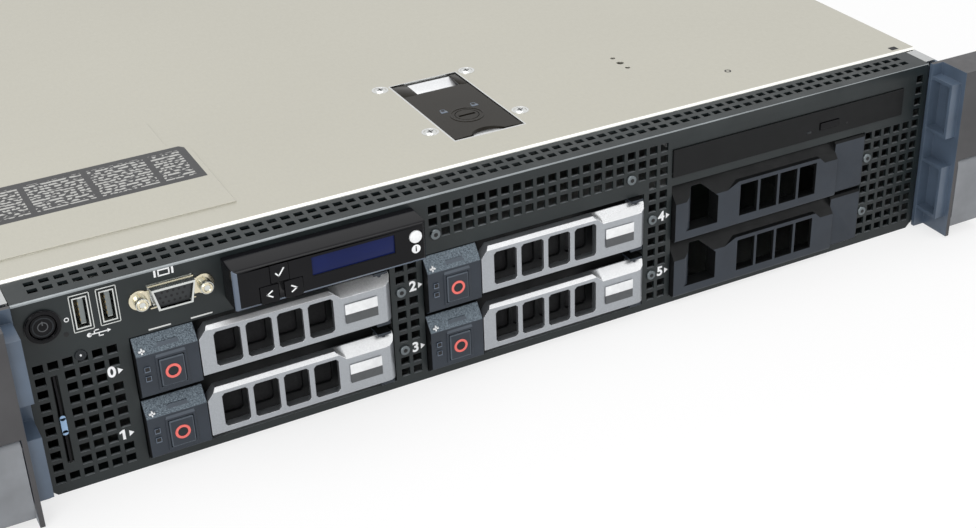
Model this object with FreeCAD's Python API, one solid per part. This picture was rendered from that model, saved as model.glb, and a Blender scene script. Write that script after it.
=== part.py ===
"""2U rack server, built from sheet-metal casings, plug-in modules and their moving parts.

Working frame while modelling: X to the right seen from the front, Y = 0 on the outer
face of the front fascia and running to the rear, Z = 0 on the underside.  Everything is
moved along Y once, on export, so that the origin ends up under the centre of the server.
"""
import FreeCAD, Part
import math
import os

V = FreeCAD.Vector

# ---------------------------------------------------------------- driving dimensions, mm
rack_width = 482.6            # over both rack ears
rack_hole_spacing = 465.1     # between the two columns of rack holes
rack_hole_height = 21.8       # second hole of the lower rack unit above the underside
body_width = 437.6
body_depth = 680.0
body_height = 87.0            # over the top cover
fascia_width = 426.0
pan_sheet = 1.2
stud_places = (90.0, 370.0, 640.0)
stud_height = 43.0
stud_radius = 3.4
stud_reach = 3.6
cover_sheet = 1.0
fascia_sheet = 1.2
running_gap = 0.4             # between moving modules and what guides them
fit_gap = 0.05                # radial clearance of hinge pins
seat_gap = 0.2                # between a fixed part and the opening it fills

# perforated front
hole_pitch = 5.57
hole_side = 3.9
hole_row_pitch = 5.6
hole_row_first = 6.5          # height of the lowest row
grille_edge = 5.0             # from the fascia's side edge to the first hole centre
grille_columns = 6
bay_rows = 10                 # rows beside the drive bays
all_rows = 14                 # rows over the full height
screw_sides = 12              # facets of the small screw heads
screw_row_low = 2
screw_row_high = 7

# drive bays: three columns of two
bay_width = 107.4
bay_pitch = 121.9
bay_middle = 2.2              # centre of the middle column
module_height = 26.6
module_lift = 0.3             # clearance under a module
module_headroom = 0.7         # clearance over a module
module_side_gap = 0.5
cage_sheet = 1.0
cage_depth = 160.0
ledge_width = 5.0

# blanking modules
blank_reach = 3.0             # how far their fronts stand out of the fascia
blank_back = 4.4
blank_bevel = 19.0            # top of the flat front face above the module's underside
blank_step = 89.4             # where the front steps back at the right end
blank_window = 34.6
blank_window_pitch = 11.0

# drive carriers
carrier_depth = 158.0
face_reach = 4.2              # how far the carrier fronts stand out of the fascia
bevel_start = 20.5             # top of the flat front face above the module's underside
black_foot = 2.6
black_width = 24.4
handle_back = 0.8
handle_foot = 4.2
handle_sheet = 1.8            # front wall of the handle's window frame
handle_wall = 1.6
handle_top = 25.2
handle_step = 79.3            # where the raised window frame starts to fall to the bevel
handle_step_run = 4.6
handle_corner = 4.6
window_first = 30.6
window_count = 4
window_width = 10.8
window_pitch = 12.95
window_low = 6.6
window_high = 22.2
window_corner = 1.1
knuckle_radius = 4.2
hinge_pin_radius = 1.0
button_left = 8.2
button_width = 9.8
button_low = 5.2
button_high = 17.4
button_proud = 0.5
boss_proud = 0.5              # the surround of the release button stands out of the carrier's front
boss_margin = 1.2
hood_rise = 5.0               # sloped hood over the button
hood_inset = 2.3
button_travel = 1.5
rail_sheet = 1.2
rail_lip = 4.0
lip_sheet = 0.5
front_wall_y = 4.6
front_wall = 1.6
disk_width = 101.6
disk_height = 26.0
disk_depth = 147.0
notch_depth = 6.0

# control strip
power_x = -203.3
power_z = 74.5
power_radius = 4.9
power_ring_radius = 6.8
usb_x = (-188.8, -178.8)
usb_width = 5.6
usb_height = 13.2
port_z = 76.0
port_depth = 15.0
port_margin = 1.0
control_board_z = 66.0
port_shell = 0.5
vga_x = -154.7
vga_z = 74.6
vga_width = 16.4
vga_height = 8.6
jack_spacing = 25.0
jack_radius = 2.6
jack_neck = 1.6

# display module
lcd_left = -134.6
lcd_right = -54.6
lcd_bottom = 65.6
lcd_top = 83.3
lcd_reach = 14.0
lcd_depth_inside = 12.0
display_left = -103.4
display_right = -68.4
display_low = 72.7
display_high = 81.0
display_recess = 0.8
nav_side = 7.4
nav_x = (-116.6, -121.2, -111.4)
nav_z = (78.4, 70.3, 70.3)
id_x = -59.6
id_z = 77.7
id_radius = 2.7

# pull-out information tag
tag_x = -202.9
tag_low = 12.8
tag_high = 52.6
tag_thickness = 1.0
tag_slot_width = 2.6
tag_depth = 62.0

# slim optical drive
optical_left = 70.4
optical_width = 128.0
optical_height = 13.4
optical_bottom = 63.7
optical_depth = 126.0
optical_wall = 0.6
optical_face = 1.2
disc_radius = 60.0
eject_x = 155.3
eject_width = 10.6
eject_height = 3.2

# rack ears
ear_reach = 18.0
ear_inner = 219.2             # inner side of the ear block
ear_wall = 2.0
lever_top = 41.5
lever_bottom = 4.6
catch_width = 5.6
catch_bottoms = (11.0, 53.2)
catch_height = 27.3
catch_front = 15.4
catch_wall = 1.6
flange_sheet = 1.6
flange_leg = 46.0
mount_screw_radius = 2.9
mount_screw_head = 5.0
mount_hole_room = 1.25        # radial room of the rack screws in their slots
lever_eye = 3.0               # radius of the ear lever's hinge eye
lever_pivot_z = 38.0
lever_pin_radius = 1.4
cheek = 2.0
cheek_foot = 34.0
lever_shoulder = 1.6          # room under the cheek for the lever's swing
hook_width = 4.6
hook_reach = 5.6

# top cover, latch and label panel
cover_front = 17.0
flange_under_cover = 10.0     # how far the fascia's flange runs on under the cover
cover_back_gap = 1.6
skirt_depth = 9.0
skirt_back = 446.0            # the skirts end in front of the power supplies
latch_x = 1.5
latch_front = 38.5
latch_back = 105.5
latch_width = 33.6
latch_tray_depth = 8.0
tray_wall = 1.2
lever_back = 92.0
lever_hinge_y = 42.0
latch_tray_nose = 1.2         # the tray's front wall reaches this far under the lid
lever_nose = 1.8               # plate in front of the hinge axis
lever_thickness = 1.6
lever_pin = 1.5
eye_half = 2.1                # half the depth of the lever's square hinge eyes
lock_y = 60.4
lock_radius = 5.2
latch_screw_offset = 22.1
panel_right = -115.6
panel_step = -124.2
panel_front = 33.0
panel_jog = 94.0
panel_back = 124.0
panel_rise = 0.6

# inside
board_thickness = 1.6
board_lift = 8.0
board_left = -118.0
board_right = 213.0
board_front = 262.0
standoff_radius = 3.0
fan_count = 5
fan_depth = 38.0
fan_pitch = 82.0
fan_front = 205.0
fan_bore = 28.2
bore_sides = 20               # facets of the fan openings
hub_sides = 12
fan_tip_gap = 0.8
shaft_radius = 1.5
strut_width = 3.0
strut_depth = 3.0
fan_hub = 13.0
fan_blades = 5
fan_frame_side = 63.0
sink_x = (-40.0, 90.0)
sink_front = 300.0
sink_width = 92.0
sink_depth = 82.0
sink_height = 50.0
sink_fins = 11
dimm_rows = 6
dimm_pitch = 14.0
dimm_length = 133.4
dimm_height = 30.0

# power supplies and rear
psu_width = 40.4
psu_height = 82.0
psu_depth = 216.0
psu_sheet = 1.2
psu_front = 18.0              # thickness of the moulded end plate
inlet_depth = 15.0
psu_reach = 26.0
psu_left = -216.0
psu_gap = 2.6
psu_slide = 0.4
slot_columns = (-100.0, 62.0)
slot_width = 122.0
slot_height = 19.0
slot_bottoms = (36.0, 60.0)

bay_floor = pan_sheet + fascia_sheet + cage_sheet
module_pitch = module_height + module_headroom + cage_sheet + module_lift
fascia_half = fascia_width / 2.0
body_half = body_width / 2.0
wall_top = body_height - cover_sheet
y_shift = ear_reach - (ear_reach + body_depth + psu_reach) / 2.0


# ---------------------------------------------------------------- helpers
def box(x0, x1, y0, y1, z0, z1):
    """Rectangular block between two opposite corners."""
    return Part.makeBox(x1 - x0, y1 - y0, z1 - z0, V(x0, y0, z0))


def rod(radius, start, axis, length):
    """Cylinder from a start point along an axis."""
    return Part.makeCylinder(radius, length, V(*start), V(*axis))


def rectangle_xz(x0, x1, z0, z1, y=0.0):
    """Closed rectangular wire in a plane parallel to the fascia."""
    return Part.makePolygon([V(x0, y, z0), V(x1, y, z0), V(x1, y, z1), V(x0, y, z1), V(x0, y, z0)])


def circle_xz(x, z, radius, y=0.0):
    """Circular wire in a plane parallel to the fascia."""
    return Part.Wire(Part.makeCircle(radius, V(x, y, z), V(0, 1, 0)))


def sheet_xz(wires, y, thickness):
    """Plate parallel to the fascia from an outline and its holes."""
    face = Part.makeFace(wires, "Part::FaceMakerBullseye")
    plate = face.extrude(V(0, thickness, 0))
    plate.translate(V(0, y, 0))
    return plate


def prism_xz(points, y, thickness):
    """Plate parallel to the fascia from outline points (x, z)."""
    ring = [V(x, 0, z) for x, z in points]
    return sheet_xz([Part.makePolygon(ring + ring[:1])], y, thickness)


def prism_yz(points, x, thickness):
    """Block with a side profile (y, z), extruded along X."""
    ring = [V(x, y, z) for y, z in points]
    return Part.Face(Part.makePolygon(ring + ring[:1])).extrude(V(thickness, 0, 0))


def hexagon(radius, x, y, low, high):
    """Upright hexagonal post."""
    corners = [(x + radius * math.cos(math.radians(60 * k)), y + radius * math.sin(math.radians(60 * k)))
               for k in range(6)]
    return prism_xy(corners, low, high - low)


def ring_points(radius, sides, x=0.0, y=0.0):
    """Corners of a regular polygon with one flat side level."""
    step = 2 * math.pi / sides
    return [(x + radius * math.cos(step * (k + 0.5)), y + radius * math.sin(step * (k + 0.5)))
            for k in range(sides)]


def prism_xy(points, z, thickness):
    """Block with a plan outline (x, y), extruded upwards."""
    ring = [V(x, y, z) for x, y in points]
    return Part.Face(Part.makePolygon(ring + ring[:1])).extrude(V(0, 0, thickness))


def join(shapes):
    """Fuse touching or overlapping shapes into one clean solid."""
    whole = shapes[0].fuse(shapes[1:]) if len(shapes) > 1 else shapes[0]
    return whole.removeSplitter()


def save(name, shapes):
    """Write one node, placed in the final frame, as separate solids."""
    solids = [solid for shape in shapes for solid in shape.Solids]
    node = Part.makeCompound(solids)
    node.translate(V(0, y_shift, 0))
    node.exportStep("parts/%s.step" % name)


def mirrored(shape):
    """Copy of a shape mirrored to the other side of the server."""
    return shape.mirror(V(0, 0, 0), V(1, 0, 0))


# ---------------------------------------------------------------- layout of the front
def row_height(row):
    """Height of a row of perforations."""
    return hole_row_first + row * hole_row_pitch


def bay_left_edge(column):
    """Left edge of a drive bay column, 0 to 2."""
    return bay_middle + (column - 1) * bay_pitch - bay_width / 2.0


def module_left(column):
    """Left side of the modules in a bay column."""
    return bay_left_edge(column) + module_side_gap


def module_base(level):
    """Underside of a module, level 0 is the lower one."""
    return bay_floor + module_lift + level * module_pitch


def bay_top():
    """Upper edge of the drive bay openings."""
    return module_base(1) + module_height + module_headroom


def screw_places():
    """Centres of the screws that hold the fascia."""
    places = []
    for x in (strip_columns(0)[0], strip_columns(1)[0], fascia_half - grille_edge - 5 * hole_pitch):
        places.append((x, row_height(screw_row_low)))
        places.append((x, row_height(screw_row_high)))
    places.append((strip_columns(0)[0] + 3 * hole_pitch, row_height(11)))
    places.append((strip_columns(1)[0] - 2 * hole_pitch, row_height(11)))
    return places


def strip_columns(gap):
    """The two hole columns between bay columns gap and gap + 1."""
    middle = (bay_left_edge(gap) + bay_width + bay_left_edge(gap + 1)) / 2.0
    return (middle - hole_pitch / 2.0, middle + hole_pitch / 2.0)


def hole_centres():
    """Centres of every square hole in the front."""
    left = [(-fascia_half + grille_edge + column * hole_pitch, row)
            for column in range(grille_columns) for row in range(bay_rows)]
    right = [(fascia_half - grille_edge - column * hole_pitch, row)
             for column in range(grille_columns) for row in range(bay_rows)]
    right += [(fascia_half - grille_edge, row) for row in range(bay_rows, all_rows)]
    strips = [(x, row) for gap in (0, 1) for x in strip_columns(gap) for row in range(bay_rows)]
    first = strip_columns(0)[0] + 3 * hole_pitch
    count = int((strip_columns(1)[1] - first) / hole_pitch + 1.5)
    middle = [(strip_columns(1)[1] - k * hole_pitch, row)
              for k in range(count) for row in range(11, all_rows)]
    middle += [(x, 10) for x in strip_columns(1)]
    return [(x, row_height(row)) for x, row in left + right + strips + middle]


def blocked(x, z):
    """True where a screw, a slot number or the tag slot takes the place of a hole."""
    reach = hole_side / 2.0 + 0.6
    for sx, sz in screw_places():
        if abs(x - sx) < reach + 1.0 and abs(z - sz) < reach:
            return True
    number_columns = (-fascia_half + grille_edge + 5 * hole_pitch, strip_columns(0)[1], strip_columns(1)[1])
    for nx in number_columns:
        for row in (screw_row_low, screw_row_high):
            if abs(x - nx) < reach and abs(z - row_height(row)) < reach:
                return True
    return abs(x - tag_x) < reach and tag_low - hole_side < z < tag_high


# ---------------------------------------------------------------- casings
def chassis_pan():
    """Steel tray: floor, side walls, board posts and shoulder studs."""
    front = 3.0
    outer = box(-body_half, body_half, front, body_depth, 0, wall_top)
    inner = box(-body_half + pan_sheet, body_half - pan_sheet, front - 1, body_depth + 1, pan_sheet,
                wall_top + 1)
    tray = outer.cut(inner)
    parts = [tray]
    parts += [hexagon(standoff_radius, x, y, pan_sheet / 2.0, board_lift) for x, y in board_posts()]
    for side in (-1, 1):
        parts += [shoulder_stud(side, y) for y in stud_places]
        lip_width = body_half - fascia_half - seat_gap
        lip = box(0, lip_width, front, cover_front - running_gap, wall_top - pan_sheet, wall_top)
        lip.translate(V(body_half - lip_width if side > 0 else -body_half, 0, 0))
        parts.append(lip)
    return [join(parts)]


def rear_panel():
    """Rear wall between the side walls, with its openings for modules, slots and ports."""
    half = body_half - pan_sheet
    wall = box(-half, half, body_depth - pan_sheet, body_depth, pan_sheet, wall_top)
    return [wall.cut(rear_openings())]


def rear_openings():
    """Cutting blocks for the rear wall."""
    low = body_depth - pan_sheet - 1
    high = body_depth + 1
    cuts = []
    for k in (0, 1):
        x0 = psu_x(k)
        cuts.append(box(x0 - psu_slide, x0 + psu_width + psu_slide, low, high, pan_sheet,
                        pan_sheet + psu_height + 2 * psu_slide))
    for x in slot_columns:
        for z in slot_bottoms:
            cuts.append(box(x + 2, x + slot_width - 2, low, high, z + 2, z + slot_height - 2))
    for x, width, height in rear_ports():
        cuts.append(box(x - seat_gap, x + width + seat_gap, low, high, board_top() - seat_gap,
                        board_top() + height + seat_gap))
    return cuts


def psu_x(k):
    """Left side of power supply k."""
    return psu_left + k * (psu_width + psu_gap)


def board_top():
    """Upper face of the motherboard."""
    return board_lift + board_thickness


def rear_ports():
    """Left edge, width and height of the connectors on the rear edge of the motherboard."""
    ports = [(-104.0, 31.0, 12.5), (-66.0, 31.0, 12.5), (-28.0, 13.2, 15.0)]
    return ports + [(-6.0 + 19.0 * k, 16.0, 13.5) for k in range(4)]


def board_posts():
    """Places of the screw bosses under the motherboard."""
    xs = (board_left + 10, (board_left + board_right) / 2.0, board_right - 10)
    ys = (board_front + 12, (board_front + body_depth) / 2.0, body_depth - 24)
    return [(x, y) for x in xs for y in ys]


def shoulder_stud(side, y):
    """Shoulder stud on the side wall that drops into the rack rail."""
    start = body_half - pan_sheet / 2.0
    return rod(stud_radius, (side * start, y, stud_height), (side, 0, 0), pan_sheet / 2.0 + stud_reach)


def front_fascia():
    """Perforated black front plate with its perforated top flange."""
    corner = 3.0
    outline = [V(-fascia_half + corner, 0, 0), V(fascia_half - corner, 0, 0), V(fascia_half, 0, corner),
               V(fascia_half, 0, wall_top), V(-fascia_half, 0, wall_top), V(-fascia_half, 0, corner)]
    wires = [Part.makePolygon(outline + outline[:1])]
    half = hole_side / 2.0
    for x, z in hole_centres():
        if not blocked(x, z):
            wires.append(rectangle_xz(x - half, x + half, z - half, z + half))
    for column in range(3):
        left = bay_left_edge(column)
        wires.append(rectangle_xz(left, left + bay_width, bay_floor, bay_top()))
    wires.append(rectangle_xz(optical_left - seat_gap, optical_left + optical_width + seat_gap,
                              optical_bottom - seat_gap, optical_bottom + optical_height + seat_gap))
    wires.append(rectangle_xz(lcd_left + 1.5, lcd_right - 1.5, lcd_bottom + 1.5, lcd_top - 1.5))
    wires.append(rectangle_xz(tag_x - tag_slot_width / 2.0, tag_x + tag_slot_width / 2.0, tag_low,
                              tag_high))
    for x in usb_x:
        wires.append(rectangle_xz(x - usb_width / 2.0 - seat_gap, x + usb_width / 2.0 + seat_gap,
                                  port_z - usb_height / 2.0 - seat_gap, port_z + usb_height / 2.0 + seat_gap))
    wires.append(vga_outline(port_margin))
    wires += [circle_xz(vga_x + side * jack_spacing / 2.0, vga_z, jack_neck + seat_gap) for side in (-1, 1)]
    wires.append(circle_xz(power_x, power_z, power_ring_radius - 1.0))
    plate = sheet_xz(wires, 0, fascia_sheet)
    return [join([plate, top_flange(), bottom_flange()])]


def vga_outline(margin):
    """Trapezium outline of the video port, grown by a margin."""
    top = vga_width / 2.0 + margin
    foot = top - 1.8
    high = vga_z + vga_height / 2.0 + margin
    low = vga_z - vga_height / 2.0 - margin
    ring = [V(vga_x - foot, 0, low), V(vga_x + foot, 0, low), V(vga_x + top, 0, high),
            V(vga_x - top, 0, high)]
    return Part.makePolygon(ring + ring[:1])


def top_flange():
    """Flange behind the upper edge that carries the front of the cover."""
    return box(-fascia_half, fascia_half, fascia_sheet / 2.0, cover_front + flange_under_cover,
               wall_top - fascia_sheet, wall_top)


def bottom_flange():
    """Lip of the fascia that rests on the floor of the tray."""
    return box(-fascia_half + 3, fascia_half - 3, 0.6, 16.0, pan_sheet, pan_sheet + fascia_sheet)


def rack_screws():
    """Captive screws behind the ear levers."""
    screws = []
    for side in (-1, 1):
        x = side * rack_hole_spacing / 2.0
        shank = rod(mount_screw_radius, (x, -ear_wall - 0.2, rack_hole_height), (0, 1, 0), ear_wall + 14.0)
        outline = ring_points(mount_screw_head, screw_sides, x, rack_hole_height)
        head = prism_xz(outline, -ear_wall - 5.2, 5.0)
        screws.append(join([shank, head]))
    return screws


def top_cover():
    """Steel lid with a rolled front edge, the latch opening and a raised panel."""
    back = body_depth - cover_back_gap
    low = wall_top
    plate = box(-body_half, body_half, cover_front + 2.0, back, low, body_height)
    roll = rod(2.0, (-body_half, cover_front + 2.0, body_height - 2.0), (1, 0, 0), body_width)
    keep = box(-body_half, body_half, cover_front - 1, cover_front + 2.0, low, body_height + 1)
    edge = roll.common(keep)
    panel = [(-body_half + 4, panel_front), (panel_right, panel_front), (panel_right, panel_jog - 5),
             (panel_right - 4, panel_jog), (panel_step, panel_jog + 3), (panel_step, panel_back),
             (-body_half + 4, panel_back)]
    raised = prism_xy(panel, body_height - 0.1, panel_rise + 0.1)
    whole = join([plate, edge, raised])
    half = latch_width / 2.0
    opening = box(latch_x - half, latch_x + half, latch_front, latch_back, low - 1, body_height + 1)
    cuts = [opening]
    for k, radius in ((-1, 1.2), (0, 1.7), (1, 1.2)):
        cuts.append(rod(radius, (89.8, 74.6 + 6.6 * k, low - 1), (0, 0, 1), 3))
    return [whole.cut(cuts)]


def cover_runners():
    """Strips welded under the lid that run inside the side walls."""
    strips = []
    inner = body_half - pan_sheet - running_gap
    for side in (-1, 1):
        x = side * inner
        inward = x - side * cover_sheet
        strips.append(box(min(x, inward), max(x, inward), cover_front + 14.0, skirt_back,
                          wall_top - skirt_depth, wall_top))
    return strips


def latch_base():
    """Moulded tray under the cover that carries the lever, with its flange and hinge cheeks."""
    half = latch_width / 2.0
    rim = latch_screw_offset + 4.0
    top = wall_top
    flange = box(latch_x - rim, latch_x + rim, latch_front - 5, latch_back + 5, top - 1.2, top)
    outer = box(latch_x - half - 1, latch_x + half + 1, latch_front - latch_tray_nose - tray_wall,
                latch_back + 1, top - latch_tray_depth, top)
    hollow = box(latch_x - half + seat_gap, latch_x + half - seat_gap, latch_front - latch_tray_nose,
                 latch_back - 1, top - latch_tray_depth + tray_wall, top + 1)
    pin = rod(lever_pin, (latch_x - half, lever_hinge_y, lever_hinge_z()), (1, 0, 0), latch_width)
    return [join([join([flange, outer]).cut(hollow), pin])]


def lever_hinge_z():
    """Height of the latch lever's hinge pin."""
    return wall_top - 3.2


def latch_lever():
    """Lid lever: plate with a concave front edge, a hooked finger end and two hinge eyes."""
    half = latch_width / 2.0 - running_gap
    top = body_height - 0.2
    plate = box(latch_x - half, latch_x + half, lever_hinge_y - lever_nose, lever_back,
                top - lever_thickness, top)
    bite = rod(9.5, (latch_x, latch_front - 3.0, top - 5), (0, 0, 1), 10)
    lock_hole = rod(lock_radius + 0.3, (latch_x, lock_y, top - 5), (0, 0, 1), 10)
    sill = box(latch_x - half, latch_x + half, lever_back - 1.6, lever_back, top - 4.4, top)
    eyes = []
    for side in (-1, 1):
        x = latch_x + side * (half - 2.0)
        eyes.append(box(x - 2.0, x + 2.0, lever_hinge_y - eye_half, lever_hinge_y + eye_half,
                        lever_hinge_z() - eye_half - 0.4, top))
    bore = rod(lever_pin + fit_gap, (latch_x - half - 1, lever_hinge_y, lever_hinge_z()), (1, 0, 0),
               2 * half + 2)
    return [join([plate.cut([bite, lock_hole]), sill] + eyes).cut(bore)]


def latch_lock():
    """Coin-slotted lock that turns in the lever, with its locking tongue."""
    top = body_height - 0.2
    disc = rod(lock_radius, (latch_x, lock_y, top - 3.4), (0, 0, 1), 3.4)
    slot = box(latch_x - 4.0, latch_x + 4.0, lock_y - 0.7, lock_y + 0.7, top - 1.0, top + 1)
    tongue = box(latch_x - 1.8, latch_x + 8.6, lock_y - 1.8, lock_y + 1.8, top - 3.4, top - 2.0)
    return [join([disc, tongue]).cut(slot)]


# ---------------------------------------------------------------- drive bays
def drive_cage():
    """Sheet-metal cage behind the fascia: floor, roof, partitions and runner ledges."""
    left = bay_left_edge(0) - cage_sheet
    right = bay_left_edge(2) + bay_width + cage_sheet
    floor = bay_floor - cage_sheet
    roof = bay_top()
    parts = [box(left, right, fascia_sheet, cage_depth, floor, bay_floor),
             box(left, right, fascia_sheet, cage_depth, roof, roof + cage_sheet)]
    for column in range(3):
        x0 = bay_left_edge(column)
        x1 = x0 + bay_width
        parts.append(box(x0 - cage_sheet, x0, fascia_sheet, cage_depth, floor, roof + cage_sheet))
        parts.append(box(x1, x1 + cage_sheet, fascia_sheet, cage_depth, floor, roof + cage_sheet))
        ledge = module_base(1) - module_lift
        parts.append(box(x0 - 0.1, x0 + ledge_width, 14.0, cage_depth, ledge - cage_sheet, ledge))
        parts.append(box(x1 - ledge_width, x1 + 0.1, 14.0, cage_depth, ledge - cage_sheet, ledge))
        for x in (x0 + 20.0, x1 - 30.0):
            parts.append(box(x, x + 10.0, cage_depth - 20.0, cage_depth - 8.0, pan_sheet, floor + 0.1))
    return [join(parts)]


def backplane():
    """Drive backplane with its six sockets and air slots, hung on the back of the cage."""
    y = cage_depth
    left = bay_left_edge(0)
    right = bay_left_edge(2) + bay_width
    wires = [rectangle_xz(left, right, bay_floor, bay_top() - 0.4)]
    for column in range(3):
        for level in (0, 1):
            base = module_base(level)
            for k in range(2):
                x0 = bay_left_edge(column) + 44.0 + 30.0 * k
                wires.append(rectangle_xz(x0, x0 + 24.0, base + 8.0, base + 22.0))
    board = sheet_xz(wires, y, board_thickness)
    sockets = []
    for column in range(3):
        for level in (0, 1):
            x0 = module_left(column) + 6.0
            z0 = module_base(level) + 4.0
            sockets.append(box(x0, x0 + 33.0, disk_front() + disk_depth - notch_depth + 0.3, y, z0,
                               z0 + 5.0))
    return [board] + sockets


def drive_carrier(column, level):
    """Carrier: black front part with bevel and button pocket, grille wall, rails and hinge pin."""
    x0 = module_left(column)
    x1 = x0 + bay_width - 2 * module_side_gap
    z0 = module_base(level)
    top = z0 + module_height
    profile = [(-face_reach, z0 + black_foot), (-face_reach, z0 + bevel_start), (0.6, top),
               (front_wall_y + front_wall, top), (front_wall_y + front_wall, z0), (-0.6, z0)]
    nose = prism_yz(profile, x0, black_width)
    pocket = box(x0 + button_left - seat_gap, x0 + button_left + button_width + seat_gap, -face_reach - 3,
                 button_back() + button_travel + 0.4, z0 + button_low - seat_gap, z0 + button_high + seat_gap)
    wall = box(x0, x1, front_wall_y, front_wall_y + front_wall, z0, top)
    parts = [join([nose, button_hood(x0, z0)]).cut(pocket), wall.cut(drive_windows(x0, z0, 0, 20))]
    for side in (0, 1):
        edge = x0 if side == 0 else x1 - rail_sheet
        inward = x0 if side == 0 else x1 - rail_lip
        parts.append(box(edge, edge + rail_sheet, front_wall_y, carrier_depth, z0, top - 4.0))
        parts.append(box(inward, inward + rail_lip, front_wall_y, carrier_depth, z0, z0 + lip_sheet))
    parts += hinge_lugs(x1, z0)
    return [join(parts)]


def button_hood(x0, z0):
    """Raised surround of the release button with its sloped hood."""
    low = z0 + button_low - boss_margin
    foot = z0 + button_high + boss_margin
    left = x0 + button_left - boss_margin
    right = x0 + button_left + button_width + boss_margin
    outline = [(left, low), (right, low), (right, foot), (right - hood_inset, foot + hood_rise),
               (left + hood_inset, foot + hood_rise), (left, foot)]
    front = -face_reach - boss_proud
    profile = [(front, low), (front, foot), (front + 2.6, foot + hood_rise), (1.0, foot + hood_rise),
               (1.0, low)]
    return prism_xz(outline, front - 1, 8.0).common(prism_yz(profile, left - 1, right - left + 2))


def drive_windows(x0, z0, y0, depth):
    """Cutting blocks for the four windows of a carrier or handle, with trimmed corners."""
    blocks = []
    c = window_corner
    for k in range(window_count):
        left = x0 + window_first + k * window_pitch
        right = left + window_width
        low = z0 + window_low
        high = z0 + window_high
        outline = [(left + c, low), (right - c, low), (right, low + c), (right, high - c),
                   (right - c, high), (left + c, high), (left, high - c), (left, low + c)]
        blocks.append(prism_xz(outline, y0, depth))
    return blocks


def button_back():
    """Inner end of the release button."""
    return 1.2


def knuckle_x(x1):
    """Hinge axis of a handle, from the carrier's right side."""
    return x1 - knuckle_radius - 0.2


def hinge_lugs(x1, z0):
    """Lugs over and under the handle's knuckle, with the pin between them."""
    x = knuckle_x(x1)
    lugs = []
    for low, high in ((z0 + handle_foot - 2.6, z0 + handle_foot - 0.3),
                      (z0 + handle_top + 0.3, z0 + module_height)):
        lugs.append(box(x - 3.0, x + 3.0, -2.4, front_wall_y + 0.2, low, high))
    pin = rod(hinge_pin_radius, (x, 0, z0 + handle_foot - 1.0), (0, 0, 1), handle_top - handle_foot + 2.0)
    return lugs + [pin]


def drive_handle(column, level):
    """Silver swing handle: window frame with a chamfered corner and a rounded hinge end."""
    x0 = module_left(column)
    x1 = x0 + bay_width - 2 * module_side_gap
    z0 = module_base(level)
    left = x0 + black_width + 0.4
    pivot = knuckle_x(x1)
    slab = box(left, pivot, -face_reach, handle_back, z0 + handle_foot, z0 + handle_top)
    knuckle = prism_xy(ring_points(knuckle_radius, hub_sides, pivot), z0 + handle_foot,
                       handle_top - handle_foot)
    body = join([slab, knuckle])
    step = x0 + handle_step
    fall = step + handle_step_run
    slope = prism_yz([(-face_reach - 1, z0 + bevel_start - 0.6), (-face_reach - 1, z0 + handle_top + 1),
                      (handle_back, z0 + handle_top + 1), (0.2, z0 + handle_top)], fall, x1 - fall + 1)
    ramp = Part.makeLoft([frame_edge(step, z0, z0 + handle_top),
                          frame_edge(fall, z0, z0 + bevel_start - 0.6)], True)
    low = z0 + handle_top - handle_corner
    high = z0 + handle_top + 1
    corner = prism_xz([(left - 1, low), (left - 1, high), (left + handle_corner, high), (left, low)],
                      -face_reach - 1, face_reach + handle_back + 2)
    bore = rod(hinge_pin_radius + fit_gap, (pivot, 0, z0), (0, 0, 1), module_height)
    cuts = [slope, ramp, corner, bore, handle_hollow(left, x0, z0)]
    return [body.cut(cuts + drive_windows(x0, z0, -20, 40))]


def handle_hollow(left, x0, z0):
    """Cutting block that leaves the window frame of a handle as a thin shell, open to the rear."""
    near = left + handle_wall
    far = x0 + window_first + (window_count - 1) * window_pitch + window_width + 1.0
    low = z0 + handle_foot + handle_wall
    high = z0 + handle_top - handle_wall
    bend = handle_corner - 0.9
    return prism_xz([(near, low), (far, low), (far, high), (near + bend, high), (near, high - bend)],
                    -face_reach + handle_sheet, 20)


def frame_edge(x, z0, front_top):
    """Wedge section that trims the handle's upper front edge at one station along X."""
    high = z0 + handle_top + 1
    points = [V(x, -face_reach - 1, front_top), V(x, -face_reach - 1, high + 0.5),
              V(x, handle_back, high + 0.5), V(x, 0.2, z0 + handle_top)]
    return Part.makePolygon(points + points[:1])


def release_button(column, level):
    """Square push button that frees the handle."""
    x0 = module_left(column) + button_left
    z0 = module_base(level)
    front = -face_reach - boss_proud - button_proud
    return [box(x0, x0 + button_width, front, button_back(), z0 + button_low, z0 + button_high)]


def disk_front():
    """Front end of the hard disks."""
    return front_wall_y + front_wall + 0.3


def hard_disk(column, level):
    """3.5-inch disk drive: cast body with a stepped lid and a connector notch."""
    x0 = module_left(column) + (bay_width - 2 * module_side_gap - disk_width) / 2.0
    z0 = module_base(level) + lip_sheet
    y0 = disk_front()
    body = box(x0, x0 + disk_width, y0, y0 + disk_depth, z0, z0 + disk_height - 1.2)
    lid = box(x0 + 3, x0 + disk_width - 3, y0 + 4, y0 + disk_depth - 12, z0 + disk_height - 1.3,
              z0 + disk_height)
    notch = box(module_left(column) + 5.0, module_left(column) + 40.0, y0 + disk_depth - notch_depth,
                y0 + disk_depth + 1, z0 - 1, z0 + 9.0)
    return [join([body, lid]).cut(notch)]


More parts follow.
